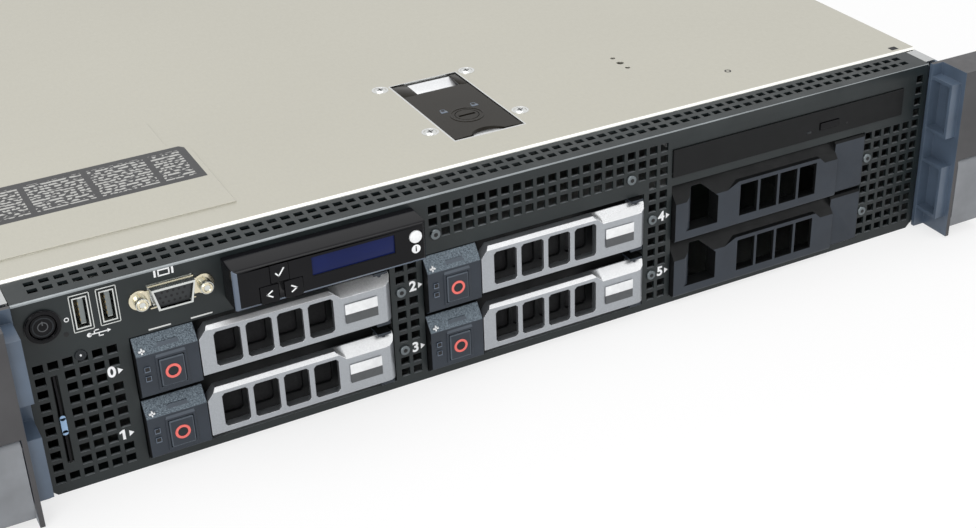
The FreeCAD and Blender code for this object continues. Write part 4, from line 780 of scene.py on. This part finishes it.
# ---------------- front panel
class SERVER_OT_front(bpy.types.Operator):
    """Finishes the perforated front, its top edge holes, rivets, slot numbers and signs"""
    bl_idname = "server.front"
    bl_label = "Perforated front"

    def execute(self, context):
        """Dresses the front panel."""
        self.panel_sheet()
        self.marks()
        self.details()
        self.screws()
        return {"FINISHED"}

    def panel_sheet(self):
        """Front panel with a bent top edge and two rows of square holes along its flange."""
        bm = solid_copy("front_fascia")
        top = far_corner("front_fascia")[2]
        soften(bm, [e for e in bm.edges if all(abs(v.co.y - FACE) < 1e-5 and v.co.z > top * MM - 1e-5
                                               for v in e.verts)], 1.1, 4)
        sheet = finish_piece(bm, "front_sheet", "chassis", "front", ("front_fascia",),
                             mend=False)
        # painted highlight on the rounded top bend, and on the upward-facing sills of the holes
        accent(sheet, "bend", lambda x, y, z, n: y < 1.2 and z > top - 1.3 and n.y < -0.2 and n.z > 0.2)
        accent(sheet, "bend", lambda x, y, z, n: 0.1 < y < 1.1 and n.z > 0.9 and z < 84.0)
        cutter = bmesh.new()
        half, pitch = size("flange_hole") / 2, size("flange_pitch")
        count = bpy.context.scene.server_sizes.flange_count
        for k in range(count):
            x = (k - (count - 1) / 2) * pitch
            for y in FLANGE_ROWS:
                block(cutter, (x - half, y - half * 0.82, top - 3), (x + half, y + half * 0.82, top + 2))
        tool = linked("flange_cutter", mesh_of(cutter, "flange_cutter"))
        cut = sheet.modifiers.new("flange_holes", "BOOLEAN")
        cut.object = tool
        cut.solver = "EXACT"
        made = evaluated(sheet)
        sheet.modifiers.clear()
        sheet.data = made
        bpy.data.objects.remove(tool)
        if len(made.polygons) < 500:
            raise RuntimeError("the flange holes could not be cut")

    def marks(self):
        """Slot numbers with their pointers, and the port signs."""
        with fitting("front_marks", "chassis", "ink") as bm:
            for text, (x, z) in SLOT_MARKS.items():
                if text == "1":
                    flat(bm, (x, -0.1, z), NUMERAL_ONE, 0.12)
                else:
                    glyph(bm, text, (x - 0.6, -0.05, z), size("mark"), 0.1)
                flat(bm, (x, -0.12, z), ((1.8, -1.35), (3.7, 0.0), (1.8, 1.35)), 0.14)
            bars(bm, VIDEO_SIGN + BUS_SIGN, -0.12, 0.02)
            drum(bm, (-187.4, 0.02, 65.7), OUT, 0.9, 0.14, 20)
            flat(bm, (-180.6, -0.12, 65.7), ((0.0, -0.8), (1.4, 0.0), (0.0, 0.8)), 0.14)
            ring(bm, (-194.5, 0.02, 74.5), OUT, 0.95, 0.6, 0.14, 24)

    def details(self):
        """Pinhole, indicator with its lens, and bright bars as painted highlights on the hems over the first
        bay.
        """
        x, z = INDICATOR
        # painted shade: a dark disc stands for the pinhole
        with fitting("front_pinhole", "chassis", "dark") as bm:
            drum(bm, (-195.5, 0.05, 68.5), OUT, 1.0, 0.1, 24)
        with fitting("front_indicator", "chassis", "lamp") as bm:
            drum(bm, (x, 0.05, z), OUT, 2.4, 0.4, 28, 2.1, 0.1)
            ring(bm, (x, -0.3, z), OUT, 2.2, 1.3, 0.25, 28)
        with fitting("front_indicator_lens", "chassis", "ink") as bm:
            bmesh.ops.create_uvsphere(bm, u_segments=12, v_segments=8, radius=0.45 * MM,
                                      matrix=Matrix.Translation(at(x, -0.35, z)))
        # painted highlight: bright bars stand for glints on the hems
        with fitting("bay_hem_glints", "chassis", "chrome") as bm:
            bars(bm, ((-165.6, 60.6, -156.8, 61.3), (-149.0, 60.6, -140.3, 61.3)), -0.25, 0.05, 0.08)

    def screws(self):
        """Small panel screws with six-lobe recesses, and the two captive rack screws."""
        with fitting("panel_screw_sockets", "chassis", "dark") as pits, \
                fitting("panel_screws", "chassis", "screw", "frame_steel") as rims:
            for x, z in PANEL_SCREWS:
                drum(rims, (x, 0.02, z), OUT, 2.5, 0.9, 28, 2.1, 0.2)
                # painted shade: dark six-sided discs stand for the screws' recesses
                drum(pits, (x, -0.8, z), OUT, 1.0, 0.16, 6)
        dress("chrome", "rack_screws")


# ---------------- control strip
def button_cap(node, name, finish, thick, stem, sides):
    """Round cap with a stem, which stands for a round button."""
    x, y, z = centre(node)
    with fitting(name, node, finish, "grey_plastic", (node,)) as bm:
        drum(bm, (x, y + thick, z), OUT, far_corner(node)[0] - x, thick, sides[0], ease=0.5)
        drum(bm, (x, y + thick - 0.1, z), BACK, stem, far_corner(node)[1] - y - thick + 0.1, sides[1])


class SERVER_OT_controls(bpy.types.Operator):
    """Finishes the ports, the power button, the display module and its keys"""
    bl_idname = "server.controls"
    bl_label = "Ports, button and display"

    def execute(self, context):
        """Dresses the control strip."""
        dress("ports", "front_connectors")
        self.bus_ports()
        self.video_port()
        self.bus_rims()
        self.power()
        self.display()
        self.keys()
        self.identify()
        return {"FINISHED"}

    def bus_ports(self):
        """Tongues of the bus ports with their contacts."""
        with fitting("bus_port_contacts", "chassis", "gold") as gold, \
                fitting("bus_port_tongues", "chassis", "tongue") as bm:
            for x in BUS_PORTS:
                block(bm, (x - 0.5, 0.9, 70.8), (x + 1.5, 14.5, 81.2), 0.2)
                block(bm, (x - 2.2, 8.6, 69.9), (x + 2.2, 14.6, 82.1))
                for k in range(4):
                    block(gold, (x - 0.62, 0.9, 71.9 + 2.3 * k), (x - 0.48, 12.0, 73.0 + 2.3 * k))

    def bus_rims(self):
        """Plated outer rims of the bus ports."""
        with fitting("bus_port_rims", "chassis", "port", "port_steel") as bm:
            for x in BUS_PORTS:
                bars(bm, ((-3.9, -7.9, -3.5, 7.9), (3.5, -7.9, 3.9, 7.9), (-3.9, 7.5, 3.9, 7.9),
                          (-3.9, -7.9, 3.9, -7.5)), -0.35, 0.02, 0.08, x, BUS_LEVEL)

    def video_port(self):
        """Face of the video port with its sockets, plate, rim and jack posts."""
        x, z = VIDEO_PORT
        jacks = (x - JACK, x + JACK)
        with fitting("video_port_face", "chassis", "face_grey") as bm:
            flat(bm, (x, -2.9, z), VIDEO_FACE, 0.5, 0.1)
        # painted shade: dark discs stand for the pin holes of the port
        with fitting("video_port_sockets", "chassis", "dark") as bm:
            for row, start in enumerate((-4.4, -5.3, -4.4)):
                for k in range(5):
                    drum(bm, (x + start + 2.2 * k, -2.93, z + 2.1 - 2.1 * row), OUT, 0.5, 0.06, 12)
        with fitting("video_port_plate", "chassis", "gilt", "port_steel") as bm:
            bars(bm, ((-8.9, -4.9, 8.9, -4.4), (-8.9, 4.4, 8.9, 4.9)), -0.75, 0.0, 0.12, x, z)
            for jack, side in zip(jacks, (-1, 1)):
                drum(bm, (jack, -0.05, z), OUT, 4.1, 0.5, 36, ease=0.12)
                bars(bm, ((-2.0, -3.3, 2.0, 3.3),), -0.7, -0.05, 0.1, x + side * 10.4, z)
        loops = []
        for grow, y in ((0.8, -0.6), (0.8, -4.15), (0.0, -4.3), (0.0, -2.9)):
            head, foot, tall = 7.7 + grow, 5.9 + grow, 3.8 + grow
            loops.append([(x - head, y, z + tall), (x + head, y, z + tall),
                          (x + foot, y, z - tall), (x - foot, y, z - tall)])
        with fitting("video_port_rim", "chassis", "port", "port_steel", smooth=20.0) as bm:
            sleeve(bm, loops)
        with fitting("video_jack_posts", "chassis", "gilt", "port_steel") as bm:
            for jack in jacks:
                drum(bm, (jack, -0.6, z), OUT, 2.75, 3.8, 6, ease=0.25)
                ring(bm, (jack, -4.3, z), OUT, 2.3, 1.2, 0.8, 28)
        # painted shade: dark discs stand for the threaded bores of the jack posts
        with fitting("video_jack_bores", "chassis", "dark") as bm:
            for jack in jacks:
                drum(bm, (jack, -4.45, z), OUT, 1.25, 0.1, 20)

    def power(self):
        """Round power button with a dished face and its mark."""
        node = "power_button"
        x, y, z = centre(node)
        radius = far_corner(node)[0] - x
        button_cap(node, "power_cap", "gloss", 2.2, 2.4, (64, 24))
        with fitting("power_rim", "chassis", "gloss") as bm:
            ring(bm, (x, -0.75, z), OUT, radius + 1.7, radius + 0.45, 0.5, 64)
        with fitting("power_dish", node, "lamp", "grey_plastic") as bm:
            ring(bm, (x, y + 0.02, z), OUT, radius - 0.9, radius - 1.5, 0.14, 64)
        with fitting("power_mark", node, "label_grey") as bm:
            ring(bm, (x, y + 0.03, z), OUT, 2.0, 1.6, 0.06, 40)
            bars(bm, ((-0.2, 0.6, 0.2, 2.3),), y - 0.05, y + 0.03, x=x, z=z)

    def display(self):
        """Display housing whose left and lower edges are painted blue-grey as a painted reflection, and the
        window.
        """
        low, high = corner("lcd_housing"), far_corner("lcd_housing")

        def outer(edge):
            """Whether an edge runs along the outside of the housing."""
            return all(min(abs(v.co[k] / MM - end[k]) for k in (0, 2) for end in (low, high)) < 1.7
                       for v in edge.verts)

        housing = eased_node("lcd_housing", "display_housing", "chassis", "gloss", 0.7, outer)
        # painted reflection on the housing's left and lower edges
        accent(housing, "rim",
               lambda x, y, z, n: y < low[1] + 2.2 and n.y < -0.2 and (n.x < -0.3 or n.z < -0.3))
        with fitting("display_window", "chassis", "screen", "gloss_black") as bm:
            bars(bm, ((-103.3, 72.8, -68.5, 80.9),), low[1] + 0.55, low[1] + 0.95, 0.3)

    def keys(self):
        """Three navigation keys with their signs."""
        for name, strokes in KEY_SIGNS.items():
            node = "nav_button_" + name
            eased_node(node, name + "_key", node, "gloss")
            x, y, z = centre(node)
            with fitting(name + "_sign", node, "ink") as bm:
                for start, end in zip(strokes, strokes[1:]):
                    a, b = Vector(start), Vector(end)
                    d = (b - a).normalized() * 0.28
                    n = Vector((-d.y, d.x))
                    flat(bm, (x, y - 0.04, z), (a - d + n, a - d - n, b + d - n, b + d + n), 0.08)

    def identify(self):
        """Pale identification button and its sign."""
        x = centre("id_button")[0] - 0.1
        y = corner("lcd_housing")[1]
        button_cap("id_button", "identify_cap", "ink", 2.0, 1.6, (40, 20))
        with fitting("identify_disc", "chassis", "ink") as bm:
            drum(bm, (x, y + 0.02, 72.3), OUT, 1.9, 0.08, 32)
        with fitting("identify_sign", "chassis", "dark") as bm:
            glyph(bm, "i", (x, y - 0.07, 72.3), 2.4, 0.08)


# ---------------- drives
class SERVER_OT_drives(bpy.types.Operator):
    """Finishes the drive modules: carriers, handles, release buttons, lamps and plain labels"""
    bl_idname = "server.drives"
    bl_label = "Drive modules"

    def execute(self, context):
        """Dresses each drive."""
        dress("disk", *numbered("hard_disk", SLOTS))
        for k in SLOTS:
            x0, y0, z0 = corner("drive_carrier_%d" % k)
            self.mouldings(k, z0)
            self.button(k)
            self.lamps(k, x0 + 3.5, y0, z0)
            self.marks(k, x0, y0, z0)
        return {"FINISHED"}

    def mouldings(self, k, z0):
        """Carrier, handle and release button."""
        body, carrier = "drive_%d" % k, "drive_carrier_%d" % k
        grip, push = "drive_handle_%d" % k, "release_button_%d" % k
        front = eased_node(carrier, "carrier_%d" % k, body, "slate")
        accent(front, "black", lambda x, y, z, n: y > 1.2)
        # painted highlight on the carrier's upward-sloping front faces
        accent(front, "hood", lambda x, y, z, n: n.y < -0.7 and 0.25 < n.z < 0.56 and y < 0.0)
        # painted sheen on the carrier's upward top bevel
        accent(front, "sheen_fleck", lambda x, y, z, n: z > z0 + 20.0 and n.y < -0.5 and n.z > 0.57)

        def crest(edge):
            """Whether an edge is a long one at the top front of the handle."""
            return edge.calc_length() > 20.0 * MM and all(
                v.co.y < FACE - 4.0 * MM and v.co.z > (z0 + 22.0) * MM for v in edge.verts)

        shell = eased_node(grip, "handle_%d" % k, grip, "silver", size("edge"), broad=crest)
        # painted highlight: upward and left-facing facets of the handle take a brighter copy of its silver
        accent(shell, "facet_highlight_and_bright_steel", lambda x, y, z, n: y < 1.2 and n.y < -0.15 and (n.z > 0.3 or n.x < -0.3))
        tile = eased_node(push, "button_%d" % k, push, "slate", 0.5)
        # painted highlight on the bevelled edges of the release button
        accent(tile, "hood", lambda x, y, z, n: -0.97 < n.y < -0.2)

    def button(self, k):
        """Coloured ring, with a faint painted glow, and dark eye of the release button."""
        push = "release_button_%d" % k
        x, y, z = centre(push)
        outer, inner = size("ring_outer"), size("ring_inner")
        with fitting("button_ring_%d" % k, push, "ring") as bm:
            ring(bm, (x, y + 0.03, z), OUT, outer, inner, 0.24, 48)
        with fitting("button_eye_%d" % k, push, "lamp") as bm:
            drum(bm, (x, y + 0.02, z), OUT, inner - 0.1, 0.12, 32)

    def lamps(self, k, x, y, z0):
        """Two status lamps in their rims, which are painted lighter as a painted highlight."""
        body, half = "drive_%d" % k, size("lamp") / 2
        lens = (0.2 - half, 0.45 - half, half - 0.3, half - 0.1)
        with fitting("lamps_%d" % k, body, "dark") as lenses, \
                fitting("lamp_rims_%d" % k, body, "rim") as rims:
            for z in (z0 + 10.2, z0 + 14.4):
                # painted highlight: the rims are lighter than the lenses
                bars(rims, ((-half, -half, half, half),), y - 0.08, y + 0.3, 0.15, x, z)
                bars(lenses, (lens,), y - 0.14, y + 0.2, 0.1, x, z)

    def marks(self, k, x, y, z):
        """Plain two-tone label of the handle and the small cross of the carrier."""
        grip = "drive_handle_%d" % k
        for name, finish, foot, head, proud in (("label_band", "ink", 13.2, 17.8, 0.08),
                                                ("label_foot", "label_grey", 9.0, 13.2, 0.06)):
            with fitting("%s_%d" % (name, k), grip, finish) as bm:
                bars(bm, ((84.9, foot, 99.0, head),), y - proud, y + 0.2, 0.06, x, z)
        with fitting("carrier_cross_%d" % k, "drive_%d" % k, "ink") as bm:
            bars(bm, ((-1.2, -0.25, 1.2, 0.25), (-0.25, -1.2, 0.25, 1.2)), y + 0.7, y + 1.5,
                 x=x + 2.6, z=z + 22.3)


class SERVER_OT_blanks(bpy.types.Operator):
    """Finishes the blanking modules with their finger openings and lattice windows"""
    bl_idname = "server.blanks"
    bl_label = "Blanking modules"

    def execute(self, context):
        """Dresses the blanks."""
        for node in numbered("drive_blank", BLANKS):
            blank = eased_node(node, node.replace("drive_", ""), node, "black", 0.35)
            accent(blank, "slate", lambda x, y, z, n: y < 3.4 and n.y < -0.8)
        return {"FINISHED"}


class SERVER_OT_disc_drive(bpy.types.Operator):
    """Finishes the slim disc drive with its bezel, button, lamp and pinhole"""
    bl_idname = "server.disc_drive"
    bl_label = "Disc drive"

    def execute(self, context):
        """Dresses the disc drive."""
        tray = "optical_tray"
        y = corner(tray)[1]
        dress("plated", "optical_case")
        eased_node(tray, "disc_tray", tray, "black")
        eased_node("eject_button", "eject_cap", "eject_button", "gloss", 0.25)
        with fitting("disc_lamp", tray, "lamp") as bm:
            bars(bm, ((142.6, 67.3, 145.0, 68.5),), y - 0.15, y + 0.2, 0.1)
        # painted shade: a dark disc stands for the pinhole
        with fitting("disc_pinhole", tray, "dark") as bm:
            drum(bm, (165.6, y + 0.02, 67.7), OUT, 0.55, 0.06, 16)
        return {"FINISHED"}


# ---------------- ears and tag
class SERVER_OT_ears(bpy.types.Operator):
    """Finishes the rack ears, their levers and the pull-out tag"""
    bl_idname = "server.ears"
    bl_label = "Rack ears and tag"

    def execute(self, context):
        """Dresses the ears."""
        for side in ("right", "left"):
            ear, latch = "ear_" + side, "ear_latch_" + side
            moulding = eased_node(ear, "ear_block_" + side, "chassis", "ear", size("edge"))
            accent(moulding, "ear_block", lambda x, y, z, n: abs(x) > 219.4 and y < -1.0 and (
                n.y < -0.3 or n.z > 0.3 or abs(x) > 240.0))
            eased_node(latch, "ear_lever_" + side, latch, "lever", size("edge"))
        dress("black", "tag_guide")
        eased_node("info_tag", "tag_card", "info_tag", "gloss", 0.2)
        x, y, _ = centre("info_tag")
        level = corner("info_tag")[2] + 17.5
        with fitting("tag_oval", "info_tag", "tag") as bm:
            for z in (level - 3.3, level + 3.3):
                drum(bm, (x, y - 0.02, z), OUT, 1.15, 0.14, 20)
            bars(bm, ((-1.15, -3.3, 1.15, 3.3),), y - 0.16, y - 0.02, x=x, z=level)
        return {"FINISHED"}


# ---------------- rear and inside
class SERVER_OT_rear(bpy.types.Operator):
    """Finishes the power supplies, the rear connectors and the slot covers"""
    bl_idname = "server.rear"
    bl_label = "Rear panel"

    def execute(self, context):
        """Dresses the rear."""
        dress("port", "rear_connectors")
        dress("plated", "slot_covers", "rear_panel", *numbered("psu", SUPPLIES))
        dress("lock", *numbered("psu_latch", SUPPLIES))
        for k in SUPPLIES:
            self.supply(k)
        self.sockets()
        return {"FINISHED"}

    def supply(self, k):
        """Fan grille wires, inlet liner and lamps of one power supply."""
        body = "psu_%d" % k
        x0, _, z0 = corner(body)
        x, z1 = centre(body)[0], far_corner(body)[2]
        y = far_corner("chassis_pan")[1] + 1.4
        fan = z1 - 20.0
        with fitting("supply_grille_%d" % k, body, "chrome", "frame_steel") as bm:
            for r in (3.5, 6.5, 9.5, 12.5):
                ring(bm, (x, y - 3.0, fan), BACK, r + 0.55, r - 0.55, 1.0, 40)
            for angle in (45, 135):
                turn = Matrix.Rotation(math.radians(angle), 3, "Y")
                d = (turn @ Vector((15.0, 0, 0))).xz
                n = (turn @ Vector((0, 0, 0.6))).xz
                flat(bm, (x, y - 3.4, fan), (-d - n, d - n, d + n, n - d), 0.8)
        with fitting("supply_inlet_%d" % k, body, "black") as bm:
            bars(bm, INLET, y - 14.8, y + 0.25, 0.15, x, z0)
        with fitting("supply_lamps_%d" % k, body, "lamp") as bm:
            for lamp in (x0 + 5.0, x0 + 9.0):
                drum(bm, (lamp, y - 0.02, z1 - 2.8), BACK, 1.1, 0.5, 20, 0.9, 0.1)

    def sockets(self):
        """Contacts and lamps of the network sockets and the pins of the shell connectors."""
        face = far_corner("rear_connectors")[1] - 4.0
        with fitting("network_lamps", "chassis", "lamp") as lamps, \
                fitting("network_contacts", "chassis", "gold") as gold:
            for x in (-6.0, 13.0, 32.0, 51.0):
                for k in range(8):
                    block(gold, (x + 3.8 + 1.1 * k, face - 9.5, 10.9), (x + 4.2 + 1.1 * k, face - 1.5, 11.6))
                for u in (1.6, 12.0):
                    block(lamps, (x + u, face - 0.3, 22.0), (x + u + 2.4, face + 0.2, 23.0), 0.1)
        with fitting("shell_pins", "chassis", "gold") as pins:
            for x in (-104.0, -66.0):
                for row, count in enumerate((5, 4)):
                    first, z = x + 9.9 + 1.4 * row, 17.6 - 3.2 * row
                    for k in range(count):
                        drum(pins, (first + 2.8 * k, face + 3.8, z), BACK, 0.6, 0.25, 12)


class SERVER_OT_inside(bpy.types.Operator):
    """Finishes the pan, the cage, the boards, the coolers and the fans"""
    bl_idname = "server.inside"
    bl_label = "Inside"

    def execute(self, context):
        """Dresses what the lid covers."""
        dress("plated", "chassis_pan", "drive_cage")
        dress("board", "backplane", "motherboard", "plug_in_boards")
        dress("fin", "heat_sinks")
        dress("black", "fan_frames")
        dress("chip", *numbered("fan_rotor", FANS))
        self.memory()
        self.parts()
        return {"FINISHED"}

    def memory(self):
        """Chips of the memory modules."""
        y0, y1, top = MEMORY
        with fitting("memory_chips", "chassis", "chip") as bm:
            for start in (-86.0, 44.0):
                for n in range(6):
                    x = start + 6.0 + 14.0 * n
                    for k in range(9):
                        y = y0 + 6.0 + k * (y1 - y0 - 12.0) / 9
                        block(bm, (x - 1.6, y, top - 14.0), (x + 1.6, y + 9.0, top - 3.0), 0.15)

    def parts(self):
        """Packages and capacitors of the system board."""
        z = corner("motherboard")[2] + 1.6
        with fitting("board_packages", "chassis", "chip") as bm:
            for x, y, wide, deep, tall in PACKAGES:
                block(bm, (x, y, z - 0.1), (x + wide, y + deep, z + tall), 0.4)
        with fitting("board_capacitors", "chassis", "fin") as bm:
            for n in range(14):
                x, y = -106.0 + 14.0 * (n % 2), 455.0 + 13.0 * (n // 2)
                drum(bm, (x, y, z - 0.1), UP, 4.0, 10.0, 24, ease=0.5)
            for n in range(10):
                drum(bm, (203.0, 395.0 + 11.0 * n, z - 0.1), UP, 3.6, 9.0, 24, ease=0.5)


# ---------------- stage
def seen(sheet):
    """1 or more for the rays that show the pale background: camera, glossy and transmission rays."""
    camera, glossy, clear = (sheet.node("ShaderNodeLightPath", output="Is %s Ray" % kind)
                             for kind in ("Camera", "Glossy", "Transmission"))
    return camera + glossy + clear


class SERVER_OT_stage(bpy.types.Operator):
    """Adds the pale floor, the soft lamps and the camera"""
    bl_idname = "server.stage"
    bl_label = "Stage"

    def execute(self, context):
        """Sets the stage."""
        self.floor()
        self.world()
        self.lamps()
        self.camera()
        bpy.context.scene.view_settings.view_transform = "Standard"
        return {"FINISHED"}

    def floor(self):
        """Pale floor that shows white to the camera and keeps a soft shadow."""
        bm = bmesh.new()
        bmesh.ops.create_grid(bm, x_segments=2, y_segments=2, size=6.0)
        floor = linked("floor", mesh_of(bm, "floor"))
        f = Finish("pale_floor", Base_Color=(0.9, 0.9, 0.9, 1.0), Roughness=0.9, Specular_IOR_Level=0.0)
        glow = f.node("ShaderNodeEmission", values={"Color": (1, 1, 1, 1), "Strength": 1.0})
        shader = Wire(f, f.shader.outputs["BSDF"])
        mixed = f.node("ShaderNodeMixShader", values={0: seen(f) * 0.72, 1: shader, 2: glow})
        f.tree.links.new(mixed.socket, f.tree.nodes["Material Output"].inputs["Surface"])
        floor.data.materials.append(f.material)

    def world(self):
        """White surroundings for the camera and for reflections, with a gentler fill light."""
        world = bpy.data.worlds.new("studio")
        bpy.context.scene.world = world
        world.use_nodes = True
        sheet = Sheet(world.node_tree)
        sky = sheet.tree.nodes["Background"]
        sky.inputs["Color"].default_value = (1, 1, 1, 1)
        level = sheet.node("ShaderNodeMapRange", values={"Value": seen(sheet), "To Min": 0.55, "To Max": 1.0})
        sheet.tree.links.new(level.socket, sky.inputs["Strength"])

    def lamps(self):
        """A broad lamp overhead, one at the front left and a weak one at the right."""
        target = Vector((0.0, FACE * 0.8, 0.04))
        for name, spot, side, power in (("overhead", (-0.1, -0.2, 1.9), 1.6, 20.0),
                                        ("front_left", (-1.2, -1.5, 0.8), 0.9, 12.0),
                                        ("front_right", (1.4, -1.5, 0.9), 0.8, 3.5)):
            light = bpy.data.lights.new(name, "AREA")
            light.shape = "SQUARE"
            light.size = side
            light.energy = power
            lamp = linked(name, light)
            lamp.location = spot
            lamp.rotation_euler = (target - lamp.location).to_track_quat("-Z", "Y").to_euler()

    def camera(self):
        """Camera above the left end of the front, close to the object."""
        lens = bpy.data.cameras.new("camera")
        lens.sensor_width = 36.0
        lens.lens = 57.44
        lens.shift_x, lens.shift_y = -0.018, 0.0148
        lens.clip_start = 0.01
        view = linked("camera", lens)
        turn = (Matrix.Rotation(-0.480807, 4, "Z") @ Matrix.Rotation(math.radians(90) - 0.529994, 4, "X")
                @ Matrix.Rotation(-0.0277, 4, "Z"))
        view.matrix_world = Matrix.Translation(at(-276.433, -504.854, 371.389)) @ turn
        bpy.context.scene.camera = view


# ---------------- panel and start
STEPS = (SERVER_OT_lid, SERVER_OT_front, SERVER_OT_controls, SERVER_OT_drives, SERVER_OT_blanks,
         SERVER_OT_disc_drive, SERVER_OT_ears, SERVER_OT_rear, SERVER_OT_inside, SERVER_OT_stage)


class SERVER_PT_sidebar(bpy.types.Panel):
    """Lists the settings and the steps that dress the server"""
    bl_idname = "SERVER_PT_sidebar"
    bl_label = "Rack Server"
    bl_space_type = "VIEW_3D"
    bl_region_type = "UI"
    bl_category = "Rack Server"

    def draw(self, context):
        """Draws the settings and one button for each step."""
        for group in (context.scene.server_colours, context.scene.server_sizes):
            column = self.layout.column(align=True)
            for key in group.bl_rna.properties.keys():
                if key not in ("rna_type", "name"):
                    column.prop(group, key)
        for step in STEPS:
            self.layout.operator(step.bl_idname)


CLASSES = (ServerColours, ServerSizes, *STEPS, SERVER_PT_sidebar)


def register():
    """Registers the classes and the settings."""
    for item in CLASSES:
        bpy.utils.register_class(item)
    bpy.types.Scene.server_colours = PointerProperty(type=ServerColours)
    bpy.types.Scene.server_sizes = PointerProperty(type=ServerSizes)


def unregister():
    """Removes the settings and the classes."""
    del bpy.types.Scene.server_sizes
    del bpy.types.Scene.server_colours
    for item in reversed(CLASSES):
        bpy.utils.unregister_class(item)


def main():
    """Runs every step."""
    register()
    for step in STEPS:
        group, name = step.bl_idname.split(".")
        getattr(getattr(bpy.ops, group), name)()


if __name__ == "__main__":
    main()
